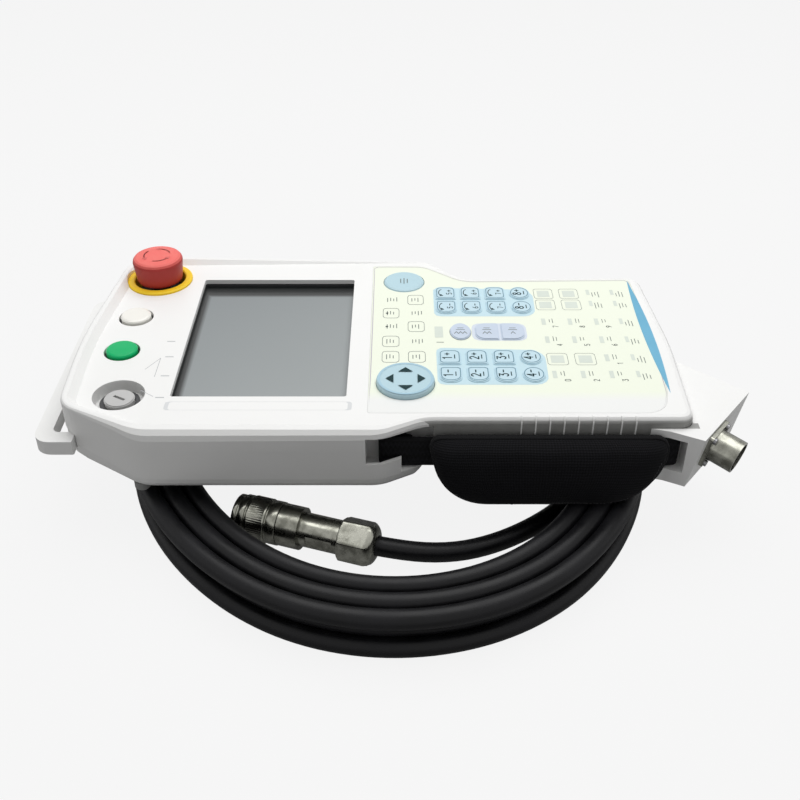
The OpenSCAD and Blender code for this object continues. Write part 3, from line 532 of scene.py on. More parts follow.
def oval(angle, inset):
    """Point of the four-centre oval: centre of the quarter's arc + (its radius - inset) * direction."""
    quarter = (np.floor((angle + 45) / 90) % 4).astype(int)
    centre = np.array([[-OVAL_C, 0], [0, OVAL_C], [OVAL_C, 0], [0, -OVAL_C]])[quarter]
    radius = np.where(quarter % 2 == 0, OVAL_A + OVAL_C, OVAL_B - OVAL_C) - inset
    a = np.radians(angle)
    p = centre + radius[:, None] * np.stack([np.cos(a), np.sin(a)], 1)
    c, s = cos(OVAL_TURN), sin(OVAL_TURN)
    p = p @ np.array([[c, s], [-s, c]]) + OVAL_MIDDLE
    p[:, 1] -= FAR_SIDE_IN * smooth_step(p[:, 1] / 150)
    return p


print("oval of", round(2 * OVAL_A), "by", round(2 * OVAL_B), "mm, with", len(SLOTS), "slots in its stack")

# %% [markdown]
# Each row of share says how far the line has come, at each angle, in each change of slot. Its product
# with the steps between the slots gives the inset and the height of the whole coil at once. The fifth
# change climbs over a strand, so it rises early and in a low hump. Two leads join the coil to the
# plugs, and averaging with the neighbours rounds off where they meet.

# %% Turns and leads
FIRST_CHANGE, EARLIER, HUMP = 158, 17, 2.2
CHANGE_SPAN = np.array([28, 28, 28, 28, 42, 28, 28, 42])
RISE_SPEED = np.array([1, 1, 1, 1, 1.7, 1, 1, 1])
change = np.array([FIRST_CHANGE + (360 - EARLIER) * k for k in range(8)])
angle = np.arange(-17.0, 137 + 360 * 7, 2.0)
share = (angle[:, None] - change) / CHANGE_SPAN + 0.5
steps = np.diff(np.array(SLOTS), axis=0)
inset = SLOTS[0][0] + smooth_step(share) @ steps[:, 0]
rise = SLOTS[0][1] + smooth_step(share * RISE_SPEED) @ steps[:, 1]
rise += HUMP * np.sin(np.clip(share[:, 4], 0, 1) * pi)
turns = np.column_stack([oval(angle, inset), rise])

near_lead = [[-7, -118, 13.5], [-4, -119, 13.5], [6, -121.5, 12.8], [16, -122.5, 11], [36, -120, 7.4]]
near_lead += [[56, -113, 5.75], [76, -102.5, 5.75], [95, -89, 5.75], [111, -73, 5.75], [123, -57, 5.75]]
far_lead = [[-109, 80, 5.75], [-116, 58, 5.8], [-110, 38, 7], [-95, 25.5, 10.5]]
far_lead += [[-79, 20.5, 13.3], [-72, 20, 13.5]]


def even(points, spacing, rounds=0):
    """Points at even distances along a line, after a few rounds of averaging with the neighbours."""
    p = np.asarray(points, float)
    for _ in range(rounds):
        p[1:-1] = p[1:-1] * 0.5 + (p[:-2] + p[2:]) * 0.25
    run = np.concatenate([[0], np.cumsum(np.linalg.norm(np.diff(p, axis=0), axis=1))])
    s = np.linspace(0, run[-1], int(run[-1] / spacing) + 1)
    return np.stack([np.interp(s, run, p[:, k]) for k in range(3)], 1)


line = even(np.concatenate([near_lead, turns, far_lead]), 5.0)
line = even(line, 6.0, rounds=26)
line[:, 2] += FLOOR
line = line[::-1].copy()
line_length = np.linalg.norm(np.diff(line, axis=0), axis=1).sum()
print("cable line of", len(line), "points is", round(line_length / MM, 2), "m long")

# %% [markdown]
# The jacket is a tube round that line. Each ring of the tube stands square to the line: one
# direction is the level normal of the line, the other is square to both.


# %% The jacket
def tube(line, radius, sides):
    """ring point = line + radius * (cos a * level normal + sin a * upward normal)."""
    ahead = np.gradient(line, axis=0)
    ahead /= np.linalg.norm(ahead, axis=1)[:, None]
    side = np.cross([0, 0, 1.0], ahead)
    side /= np.linalg.norm(side, axis=1)[:, None]
    up = np.cross(ahead, side)
    a = np.arange(sides) * 2 * pi / sides
    r = np.broadcast_to(np.asarray(radius, float), (len(line),))[:, None, None]
    return line[:, None] + r * (np.cos(a)[:, None] * side[:, None] + np.sin(a)[:, None] * up[:, None])


jacket = Finish("cable rubber", "#111113", 0.5, Specular_IOR_Level=0.2)
dust = jacket.between(jacket.noise(30, 5, 0.65), 0.42, 0.75)
dusty = jacket.mix(dust, colour("#0b0b0d"), colour("#17171a"))
jacket.set(Base_Color=dusty, Roughness=dust * 0.2 + 0.38)
jacket.bump(jacket.noise(1500, 4, 0.6), 0.0001, 0.5)
rings = tube(line, CABLE_D / 2, 16)
spread = (line_length / 10, 4)
cable = skin("cable_jacket", rings, jacket, round_v=True, caps=True, size=spread)
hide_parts("cable_coil", "cable_lead", "cable_tail")
print("jacket has", len(cable.data.polygons), "faces")

# %% [markdown]
# A plug of this kind has a stepped coupling ring with a fine knurl, and a hexagon nut that clamps the
# jacket. Both are turned shapes: a profile of distances along the axis and radii is swept round it.
# The knurl and the six flats are only a change of the radius with the angle.


# %% Coupling rings and cable nuts
KNURL_DEPTH, KNURL_TEETH, NUT_FLAT = 0.38, 64, 11.7
PLUG_AXIS, PLUG_REACH = 13.5, 84


def turned(name, node, start, ahead, profile, knurl=(0, 0), flats=(0, 0), n=192):
    """start + ahead * t + r(a) * (cos a * side + sin a * up), with r lowered by ridges or by six flats."""
    ahead = np.array([ahead[0], ahead[1], 0.0]) / np.hypot(ahead[0], ahead[1])
    side, up = np.array([-ahead[1], ahead[0], 0.0]), np.array([0, 0, 1.0])
    t, r = np.array(profile, float).T
    a = np.arange(n) * 2 * pi / n
    ridges = np.where((t > knurl[0]) & (t < knurl[1]), 1.0, 0.0) * KNURL_DEPTH
    hexed = np.where((t > flats[0]) & (t < flats[1]), 1.0, 0.0)
    radius = r[None] - ridges[None] * (0.5 + 0.5 * np.cos(KNURL_TEETH * a))[:, None]
    flat_r = NUT_FLAT / np.cos((a + pi / 6) % (pi / 3) - pi / 6)
    radius = np.where(hexed[None] > 0, np.minimum(radius, flat_r[:, None]), radius)
    ring = (np.cos(a)[:, None] * side + np.sin(a)[:, None] * up)[:, None]
    grid = np.asarray(start, float) + ahead * t[None, :, None] + ring * radius[..., None]
    made = outward(skin(name, grid, nickel, body_of(node), round_u=True))
    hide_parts(node)
    return made


ring_profile = [(3.2, 11.0), (0.6, 11.0), (0.2, 11.3), (0.2, 11.9), (0.5, 12.2), (2.4, 12.2), (2.7, 11.9)]
ring_profile += [(2.8, 11.5), (4.2, 11.5), (4.3, 12.4), (4.6, 12.8), (7.6, 12.8), (7.9, 12.5), (8.0, 11.9)]
ring_profile += [(9.0, 11.9), (9.1, 12.7), (9.4, 13.1), (10.2, 13.3), (10.4, 13.3), (19.6, 13.3)]
ring_profile += [(19.8, 13.3), (20.5, 13.0), (20.8, 12.6), (20.9, 11.9), (21.9, 11.9), (22.0, 12.6)]
ring_profile += [(22.3, 12.9), (27.4, 12.9), (27.8, 12.6), (28.0, 11.0)]
nut_profile = [(65.0, 10.2), (65.1, 11.5), (65.4, 12.2), (66.2, 13.1), (66.6, 13.4), (81.2, 13.4)]
nut_profile += [(81.8, 13.2), (83.2, 12.4), (84.6, 11.2), (85.6, 9.9), (86.3, 8.4), (86.7, 6.9)]
nut_profile += [(86.8, 6.2), (84.0, 5.9)]
for prefix, tip, back in (("plug", near_lead[0], near_lead[1]), ("far_plug", far_lead[-1], far_lead[-2])):
    way = np.array(back[:2], float) - tip[:2]
    way /= np.linalg.norm(way)
    mouth = [tip[0] - way[0] * PLUG_REACH, tip[1] - way[1] * PLUG_REACH, FLOOR + PLUG_AXIS]
    ring_name, nut_name = f"{prefix}_ring", f"{prefix}_nut"
    turned(f"{prefix}_coupling", ring_name, mouth, way, ring_profile, knurl=(10.3, 19.7))
    turned(f"{prefix}_clamp", nut_name, mouth, way, nut_profile, flats=(65.0, 84.0), n=180)
print("two coupling rings and two clamp nuts turned")

# %% [markdown]
# Shells and inserts stay solids of the frame; the coupling rings and clamp nuts are the pieces just made.

# %% [markdown]
# ## The hand strap
# The hand goes between the handle and a padded strap. A woven band 20 mm wide and 1.6 mm thick
# runs from a bar in the head to a bar in the tail. At each bar it turns back and is sewn to itself.
# A flat strap is modelled directly: its line lies in plan, and a small rounded section follows it.


# %% Webbing
HEAD_BAR_X, TAIL_BAR_X, BAR_Y = 0, 163, -84.8
BAND_TOP, BAND_W, BAND_T = -12.2, 20.0, 1.6
BAND_Y = BAR_Y - 2.6 - BAND_T / 2


def turn_round(centre, radius, start, end, n=14):
    """Points of an arc: centre + radius * (cos a, sin a)."""
    a = np.radians(np.linspace(start, end, n))
    return np.stack([centre[0] + radius * np.cos(a), centre[1] + radius * np.sin(a)], 1)


def band(plan, width, thick, top):
    """section = 12 points of a rounded bar, width along z and thick along the plan's normal."""
    ahead = np.gradient(plan, axis=0)
    ahead /= np.linalg.norm(ahead, axis=1)[:, None]
    normal = np.stack([-ahead[:, 1], ahead[:, 0]], 1)
    a = np.arange(12) * 2 * pi / 12 + pi / 12
    across = np.sign(np.cos(a)) * np.abs(np.cos(a)) ** 0.5 * thick / 2
    along = np.sign(np.sin(a)) * np.abs(np.sin(a)) ** 0.2 * width / 2
    xy = plan[:, None] + normal[:, None] * across[None, :, None]
    z = np.broadcast_to(top - width / 2 + along, xy.shape[:2])
    return np.concatenate([xy, z[..., None]], 2)


TURN_R = 3.4
head_tab = np.linspace([15, BAND_Y + 1.75], [2.5, BAR_Y + 3.0], 6)
tail_tab = np.linspace([160.5, BAR_Y + 3.0], [147, BAND_Y + 1.75], 6)
straight = np.column_stack([np.linspace(2, 161, 60), np.full(60, BAND_Y)])
straight[:, 1] += 0.12 * np.sin(straight[:, 0] / 9)
head_turn = turn_round((HEAD_BAR_X, BAR_Y), TURN_R, 70, 265)
tail_turn = turn_round((TAIL_BAR_X, BAR_Y), TURN_R, -85, 110)
plan = np.concatenate([head_tab, head_turn, straight, tail_turn, tail_tab])
plan = even(np.column_stack([plan, np.zeros(len(plan))]), 1.6, 2)[:, :2]
woven = Finish("webbing weave", "#0c0c0e", 0.75, Specular_IOR_Level=0.14, Sheen_Weight=0.02)
u, v, _ = woven.axes("UV")
rib = (v * 2 * pi / 1.3 + (u * 2 * pi / 2.6).sine() * 1.2).sine()
fuzz = woven.noise(2500, 3)
woven.set(Base_Color=woven.mix(woven.between(rib, -1, 1), colour("#060607"), colour("#151518")))
woven.bump(rib * 0.5 + fuzz * 0.6, 0.0002, 0.7)
sections = band(plan, BAND_W, BAND_T, BAND_TOP)
spread = (len(plan) * 1.6, 43)
webbing = skin("strap_band", sections, woven, round_v=True, caps=True, size=spread)
outward(webbing)
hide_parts("strap_webbing")
print("webbing of", len(plan), "sections")

# %% [markdown]
# The pad is two sheets of spacer fabric over foam, bound together round their edge. Each sheet is a
# grid over the pad's outline, with its thickness falling to nothing at the border, which gives a
# cushion's crowned face. It bulges away from the handle, and its lower edge leans out. The swell and
# the slow dents could come from a cloth simulation. Here they are worked out in code, as sums of sines.
# First comes the outline: a polygon with an arc in each corner.


# %% Outlines with round corners
def closed_outline(corners, n=10, per_mm=0.5):
    """Rounded polygon: each corner (x, z, r) becomes an arc, with even points between the arcs."""
    pts = []
    for k, (bx, bz, rad) in enumerate(corners):
        b = np.array([bx, bz])
        a, c = (np.array(corners[(k + d) % len(corners)][:2]) for d in (-1, 1))
        u, w = (b - a) / np.linalg.norm(b - a), (c - b) / np.linalg.norm(c - b)
        turn = atan2(u[0] * w[1] - u[1] * w[0], u @ w)
        side = np.sign(turn)
        start = b - u * rad * np.tan(abs(turn) / 2)
        centre = start + side * rad * np.array([-u[1], u[0]])
        first = atan2(-side * u[0], side * u[1])
        t = first + np.linspace(0, turn, n)
        pts.append(centre + rad * np.stack([np.cos(t), np.sin(t)], 1))
    p = np.concatenate(pts + [pts[0][:1]])
    run = np.concatenate([[0], np.cumsum(np.linalg.norm(np.diff(p, axis=0), axis=1))])
    s = np.linspace(0, run[-1], int(run[-1] * per_mm) + 1)[:-1]
    return np.stack([np.interp(s, run, p[:, i]) for i in (0, 1)], 1)


def rounded_box(x, y, half_x, half_y, radii, n=10, per_mm=0.5):
    """A box round x, y. Its four radii start at the low left corner and go counter-clockwise."""
    sides = ((-1, -1), (1, -1), (1, 1), (-1, 1))
    corners = [(x + i * half_x, y + j * half_y, r) for (i, j), r in zip(sides, radii)]
    return closed_outline(corners, n, per_mm)


PAD_TOP, PAD_LOW = -10.2, -50.2
pad_edge = closed_outline([(35, PAD_LOW, 30), (148, PAD_LOW, 36), (160, PAD_TOP, 6), (24, PAD_TOP, 5)])

print("pad outline has", len(pad_edge), "points")

# %% [markdown]
# The pad stands upright beside the handle, so its outline lies in x and z, and its sheets differ in y.
# How far each leans out at each height is read from a few heights by straight steps.


# %% The pad's two sheets
def pad_lean(z, side):
    """y of a sheet at height z. side: 0 is the border, 1 the outer sheet, -1 the inner sheet."""
    outer = np.interp(z, [-50, -40, -30, -20, -14, -10], [-104.4, -106.4, -106.2, -104.2, -101.6, -98.4])
    inner = np.interp(z, [-50, -34, -16, -10], [-95.0, -89.7, -89.4, -88.6])
    share = np.interp(z, [-22, -12], [0.48, 0.24])
    middle = outer * share + inner * (1 - share)
    return np.where(side > 0, outer, np.where(side < 0, inner, middle))


def pad_sheet(side, n=132, m=44):
    """x runs between the outline's two sides at each height; thickness = ((1-s^8)(1-t^8))^0.42."""
    t = np.sin(np.linspace(-1, 1, m) * pi / 2)
    s = np.sin(np.linspace(-1, 1, n) * pi / 2)
    z = (PAD_TOP + PAD_LOW) / 2 + t * (PAD_TOP - PAD_LOW) / 2
    left, right = [], []
    for level in np.clip(z, PAD_LOW + 0.02, PAD_TOP - 0.02):
        a, b = pad_edge, np.roll(pad_edge, -1, axis=0)
        cut = (a[:, 1] - level) * (b[:, 1] - level) <= 0
        f = (level - a[cut, 1]) / np.where(b[cut, 1] == a[cut, 1], 1, b[cut, 1] - a[cut, 1])
        x = a[cut, 0] + f * (b[cut, 0] - a[cut, 0])
        left.append(x.min())
        right.append(x.max())
    left, right = np.array(left), np.array(right)
    x = (left + right)[None] / 2 + s[:, None] * (right - left)[None] / 2
    full = ((1 - s[:, None] ** 8) * (1 - t[None] ** 8)).clip(0) ** 0.42
    z = np.broadcast_to(z, x.shape)
    dent = 0.35 * np.sin(x / 11 + z / 17) * np.sin(z / 8 + 1) + 0.22 * np.sin(x / 4.3 - z / 6)
    middle = pad_lean(z, 0 * z)
    y = middle + (pad_lean(z, side + 0 * z) - middle) * full + (dent * full if side > 0 else 0)
    return np.stack([x, y, z], 2)


front, back = pad_sheet(1), pad_sheet(-1)
print("pad is", round(float(back[..., 1].max() - front[..., 1].min()), 1), "mm deep in all")

# %% [markdown]
# Spacer fabric is an open net: two crossed waves in the sheet's own u and v give its holes, as
# colour and as bump.

# %% Pad
mesh_cloth = Finish("pad cloth", "#08080a", 0.85, Specular_IOR_Level=0.1, Sheen_Weight=0.02)
u, v, _ = mesh_cloth.axes("UV")
holes = ((u + v) * 2 * pi / 2.2).sine() * ((u - v) * 2 * pi / 2.2).sine()
net = mesh_cloth.mix(mesh_cloth.between(holes, -0.6, 0.8), colour("#040405"), colour("#141417"))
mesh_cloth.set(Base_Color=net)
mesh_cloth.bump(holes * 0.6 + mesh_cloth.noise(1800, 3) * 0.5, 0.0003, 0.8)
grid = np.concatenate([front, back[::-1]], axis=0)
pad = skin("strap_cushion", grid, mesh_cloth, round_u=True, size=(264, 38))
outward(pad)
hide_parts("strap_pad")
print("pad has", len(pad.data.polygons), "faces")

# %% [markdown]
# A bound edge hides the seam: a soft tape folded over both sheets. It is a flattened tube along the
# outline, with the ribs of a woven tape across it.

# %% Binding
loop = np.column_stack([pad_edge[:, 0], pad_lean(pad_edge[:, 1], 0 * pad_edge[:, 1]), pad_edge[:, 1]])


def closed_tube(loop, radius, sides):
    """ring point = loop + radius * (1.1 cos a * inward normal in the pad's plane + 2.2 sin a * y)."""
    ahead = np.roll(loop, -1, axis=0) - np.roll(loop, 1, axis=0)
    ahead /= np.linalg.norm(ahead, axis=1)[:, None]
    y = np.array([0, 1.0, 0])
    inward = np.cross(y, ahead)
    inward /= np.linalg.norm(inward, axis=1)[:, None]
    a = np.arange(sides) * 2 * pi / sides
    ring = 1.1 * np.cos(a)[:, None] * inward[:, None] + 2.2 * np.sin(a)[:, None] * y
    return loop[:, None] + radius * ring


tape = Finish("binding tape", "#0b0b0d", 0.75, Specular_IOR_Level=0.14, Sheen_Weight=0.03)
u, v, _ = tape.axes("UV")
tape.bump((u * 2 * pi / 1.1).sine(), 0.00015, 0.6)
hem = closed_tube(loop, 0.9, 12)
binding = skin("strap_binding", hem, tape, round_u=True, round_v=True, size=(330, 4))
outward(binding)
print("binding of", len(loop), "rings")

# %% [markdown]
# A line of stitches runs beside the tape, at the ends and along the lower edge. Each stitch is a tiny
# six-sided bead that lies on the nearest point of the outer sheet.


# %% Stitches
def beads(name, points, directions, length, radius, finish, body="root"):
    """One bead per point: a six-sided spindle of this length and radius along its direction."""
    n = len(points)
    a = np.arange(6) * pi / 3
    d = directions / np.linalg.norm(directions, axis=1)[:, None]
    side = np.cross(d, [0.3, 1.0, 0.2])
    side /= np.linalg.norm(side, axis=1)[:, None]
    up = np.cross(d, side)
    along = np.array([-0.5, -0.3, 0.3, 0.5]) * length
    wide = np.array([0.25, 1, 1, 0.25]) * radius
    ring = np.cos(a)[:, None] * side[:, None, None] + np.sin(a)[:, None] * up[:, None, None]
    p = points[:, None, None] + along[:, None, None] * d[:, None, None] + wide[:, None, None] * ring
    base = np.arange(n)[:, None] * 24
    here, after = np.arange(6), (np.arange(6) + 1) % 6
    quads = np.concatenate([np.stack([here, after, after + 6, here + 6], 1) + 6 * k for k in range(3)])
    faces = (base[:, None] + quads).reshape(-1, 4).tolist()
    faces += (base + np.arange(6)[::-1]).tolist() + (base + 18 + np.arange(6)).tolist()
    mesh = bpy.data.meshes.new(name)
    mesh.from_pydata(at(p.reshape(-1, 3)).tolist(), [], faces)
    return outward(piece(name, mesh, finish, body))


thread = moulded("thread", "#1b1b1e", 0.6, grain=4000)
STITCH_INSET, STITCH_LIFT = 3.6, 0.15
pad_middle = np.array([95.0, -28.0])
sheet_row = front.reshape(-1, 3)
towards = (pad_middle - pad_edge) / np.linalg.norm(pad_middle - pad_edge, axis=1)[:, None]
inside = pad_edge + towards * STITCH_INSET
near = ((sheet_row[None, :, [0, 2]] - inside[:, None]) ** 2).sum(2).argmin(1)
stitch_at = np.column_stack([inside[:, 0], sheet_row[near, 1] - STITCH_LIFT, inside[:, 1]])
stitch_to = np.roll(stitch_at, -1, axis=0) - stitch_at
ends = (inside[:, 1] < -20) & ((inside[:, 0] > 118) | (inside[:, 1] < -40))
stitch_at, stitch_to = stitch_at[ends], stitch_to[ends]
beads("strap_stitches", stitch_at, stitch_to, 1.5, 0.22, thread)
print(len(stitch_at), "stitches")

# %% [markdown]
# ## Prints
# The key sheet is a printed film. A print has no thickness that can be seen, so each colour is one
# mesh of flat shapes, lifted a few hundredths of a millimetre off what it is printed on. Shapes are
# collected in drawing millimetres first. Prints on a key ride with the key's own body. All marks are
# plain: signs, digits, arrows, frames and bars.


# %% Shapes to print
def round_outline(x, y, rx, ry, n=40):
    """Points of an ellipse: x + rx cos a, y + ry sin a."""
    a = np.arange(n) * 2 * pi / n
    return np.stack([x + rx * np.cos(a), y + ry * np.sin(a)], 1)


class Print:
    """Collects flat shapes at one height z, where 0 is the key sheet's top, then makes one mesh of them."""

    def __init__(self, z):
        self.z, self.points, self.faces = z, [], []

    def shape(self, outline):
        """One filled shape, its outline counter-clockwise."""
        first = len(self.points)
        self.points += [(float(x), float(y), self.z) for x, y in outline]
        self.faces.append(list(range(first, len(self.points))))

    def ring(self, outer, inner):
        """The strip between two outlines of equally many points."""
        n, first = len(outer), len(self.points)
        self.points += [(float(x), float(y), self.z) for x, y in list(outer) + list(inner)]
        for i in range(n):
            j = (i + 1) % n
            self.faces.append([first + i, first + j, first + n + j, first + n + i])

    def bar(self, x, y, w, h):
        self.shape([(x + i * w / 2, y + j * h / 2) for i, j in ((-1, -1), (1, -1), (1, 1), (-1, 1))])

    def frame(self, x, y, w, h, r=1.2, line=0.35):
        outer = rounded_box(x, y, w / 2, h / 2, (r, r, r, r), 5)
        inner = outer + (np.array([x, y]) - outer) * line / (min(w, h) / 2)
        self.ring(outer, inner)

    def line(self, points, width):
        """A stroke: one thin quad per step, each a little long so that corners close."""
        p = np.asarray(points, float)
        for a, b in zip(p[:-1], p[1:]):
            d = (b - a) / np.linalg.norm(b - a)
            side, a, b = np.array([-d[1], d[0]]) * width / 2, a - d * width / 3, b + d * width / 3
            self.shape([a - side, b - side, b + side, a + side])

    def make(self, name, finish, body="root", slot=None):
        mesh = bpy.data.meshes.new(name)
        mesh.from_pydata(at(self.points).tolist(), [], self.faces)
        return piece(name, mesh, finish, body)


print("print shapes are ready")

# %% [markdown]
# Digits and signs are strokes on a grid two wide and four high, as on an engraving template. The
# numbered axes and number keys of any pendant need no more than these.

# %% Digits and signs
DIGITS = {
    "0": [[(0.4, 0), (1.6, 0), (2, 0.6), (2, 3.4), (1.6, 4), (0.4, 4), (0, 3.4), (0, 0.6), (0.4, 0)]],
    "1": [[(0.3, 3.2), (1.1, 4), (1.1, 0)]],
    "2": [[(0, 3.3), (0.5, 4), (1.5, 4), (2, 3.3), (2, 2.6), (0, 0), (2, 0)]],
    "3": [[(0, 4), (2, 4), (0.9, 2.4), (1.6, 2.3), (2, 1.6), (2, 0.7), (1.5, 0), (0.5, 0), (0, 0.6)]],
    "4": [[(1.5, 0), (1.5, 4), (0, 1.2), (2, 1.2)]],
    "5": [[(2, 4), (0.2, 4), (0.1, 2.3), (1.4, 2.4), (2, 1.7), (2, 0.7), (1.5, 0), (0.4, 0), (0, 0.5)]],
    "6": [[
        (1.7, 4), (0.5, 2.8), (0, 1.6), (0, 0.7), (0.5, 0), (1.5, 0), (2, 0.7), (2, 1.5),
        (1.4, 2.1), (0.2, 1.8),
    ]],
    "7": [[(0, 4), (2, 4), (0.8, 0)]],
    "8": [[
        (1, 2.2), (0.2, 2.8), (0.3, 3.7), (1, 4), (1.7, 3.7), (1.8, 2.8), (1, 2.2), (0, 1.4),
        (0.1, 0.4), (1, 0), (1.9, 0.4), (2, 1.4), (1, 2.2),
    ]],
    "9": [[
        (0.3, 0), (1.5, 1.2), (2, 2.4), (2, 3.3), (1.5, 4), (0.5, 4), (0, 3.3), (0, 2.5),
        (0.6, 1.9), (1.8, 2.2),
    ]],
    "+": [[(0, 2), (2.2, 2)], [(1.1, 0.9), (1.1, 3.1)]],
    "-": [[(0, 2), (2.2, 2)]],
}


def write(sheet, sign, x, y, height, width, turned=True):
    """Strokes of a digit or sign, centred at x, y. turned: it is read from the right-hand side."""
    for stroke in DIGITS[sign]:
        p = (np.array(stroke) - [1.05, 2]) * height / 4
        if turned:
            p = np.stack([-p[:, 1], p[:, 0]], 1)
        sheet.line(p + [x, y], width)


print(len(DIGITS), "digits and signs")

# %% [markdown]
# The film itself is a very pale green. It is slightly uneven, because it is printed on the back of a
# textured clear sheet, and fades to white along its near edge. Blue fields lie under the axis keys,
# a lilac one under the speed keys, and a plain blue crescent closes the right end.

# %% The key sheet
FADE_FROM, FADE_TO = -0.070, -0.061
film = moulded("key sheet film", "#eff5e4", 0.42, grain=3500, depth=0.00003, soil=0.012)
_, y, _ = film.axes()
printed = film.between(y - ZERO[1] / MM, FADE_FROM, FADE_TO)
film.set(Base_Color=film.mix(printed, colour("#ecedeb"), colour("#edf2e1")), Coat_Weight=0.1)
paint(film, "keypad_overlay")
ink = moulded("print grey ink", "#737b78", 0.6, soil=0.05, Specular_IOR_Level=0.15)
dark_ink = moulded("print dark ink", "#223b3e", 0.6, soil=0.04, Specular_IOR_Level=0.1)
field_ink = moulded("print blue field", "#c2dde6", 0.45, soil=0.02)
crescent_ink = moulded("print blue crescent", "#62abcb", 0.45, soil=0.05)
lilac_ink = moulded("print lilac field", "#d3dbe6", 0.45, soil=0.02)

fields = Print(0.04)
for top, low in ((60.2, 23.0), (-14.2, -54.2)):
    corners = [(30.2, low, 4), (95.2, low, 8), (96.2, top - 3, 10), (30.2, top, 4)]
    fields.shape(closed_outline(corners, 8, 0.3))
fields.make("print_fields", field_ink)
crescent = Print(0.05)
u = np.linspace(-1, 1, 33)
chord = np.column_stack([162.6 + 1.0 * -u, 3.6 + 66.4 * u])
inner = chord + np.outer(1 - u**2, [-2.9, 0])
outer = chord + np.outer(1 - u**2, [3.4, 0])
crescent.shape(np.vstack([inner, outer[-2:0:-1]]))
crescent.make("print_crescent", crescent_ink)
speed_field = Print(0.05)
speed_field.shape(rounded_box(70.3, 4.0, 17.1, 10.2, (5, 5, 5, 5), 6, 0.3))
speed_field.make("print_speed_field", lilac_ink)
print("fields printed")

# %% [markdown]
# Six columns of small printed keys fill the rest of the sheet. Real ones carry words, which this
# model leaves out: each keeps its place as a small frame, a digit or a few bars.

# %% Small printed keys
keys = Print(0.06)
soft = Print(0.055)
for row, y in enumerate((44, 27, 10.5, -7, -24.5)):
    for col, x in enumerate((2.5, 18.4)):
        framed = (row + col) % 2 == 1 or row == 4
        if framed:
            keys.frame(x, y, 10.5, 12.5, 2.0, 0.3)
        for k in range(3 if framed else 4):
            keys.bar(x - 2.4 + k * 2.0, y + (k % 2) * 0.6, 0.5, 5.2 - (k * 7 + row * 3 + col) % 3)
        if row in (1, 2) and col == 0:
            keys.shape(round_outline(x - 2.6, y, 0.9, 0.9, 12))
numbers = iter("789456123")
for row, y in enumerate((52, 37.5, 15, -6.5, -27, -45)):
    for col, x in enumerate((103, 119.8, 136.6, 152.5)):
        if row in (0, 1, 4) and col < 2:
            keys.frame(x, y, 12.6, 13, 1.6, 0.25)
            soft.bar(x, y, 8.0, 8.0)
        elif row in (2, 3, 4, 5) and col < 3:
            sign = "0" if row == 5 and col == 0 else next(numbers, "0")
            write(keys, sign, x + 3.4, y - 4.5, 3.2, 0.45)
            soft.bar(x - 3.6, y + 1.5, 2.6, 7.5)
            for k in range(2):
                keys.bar(x + 0.2 + k * 1.9, y + 2.5, 0.42, 5.4 - (row + col + k) % 3)
        else:
            soft.bar(x - 3.8, y + 2, 2.2, 6.5)
            for k in range(3):
                keys.bar(x + k * 2.0 - 1.2, y - 1 + k % 2, 0.45, 7.2 - (row * 2 + col + k) % 4)
soft.bar(32.5, 4, 5.2, 13)
keys.bar(33, -8, 4.6, 0.6)
print("small keys printed:", len(keys.faces), "shapes")

# %% [markdown]
# A thin line shows where the film ends in the front cover's recess. It is drawn just inside the film's
# outline, and it thins out towards the near side, where the film fades.

# %% The film's edge line
film_corners = [(-9.4, -81.4, 2), (156.4, -81.4, 14), (161.5, -62, 30), (164.9, 5, 150)]
film_corners += [(162.4, 70.4, 3), (50, 68.4, 22), (24, 89.4, 16), (-9.4, 89.4, 1.5)]
film_edge = closed_outline(film_corners, 12, 0.3)
film_middle = np.array([70.0, 0.0])
edge_line = Print(0.045)
thin = 0.55 * smooth_step((film_edge[:, 1] + 78) / 30) + 0.02
share_in = (thin / np.linalg.norm(film_edge - film_middle, axis=1))[:, None]
edge_line.ring(film_edge, film_edge + (film_middle - film_edge) * share_in)
edge_line.make("print_edge_line", moulded("print edge ink", "#b9b3bd", 0.55))
keys.make("print_small_keys", ink)
soft.make("print_soft_bars", moulded("print soft ink", "#d5ddd3", 0.55))
print("edge line of", len(film_edge), "points")

# %% [markdown]
# ## Marks on the moving keys
# A key of this sheet is a raised blister. Its print is a dark outline just inside its edge, a sign
# and a digit, or a bar. The outline is worked out from the key's own box, and the whole print rides
# with the key, so it goes down when the key is pressed.


# %% Axis keys
def key_box(node):
    """Centre x and y, half sizes and the top of a key, in drawing millimetres."""
    low, high = (np.array(c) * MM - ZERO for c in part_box(node))
    return (low + high)[:2] / 2, (high - low)[:2] / 2, high[2]


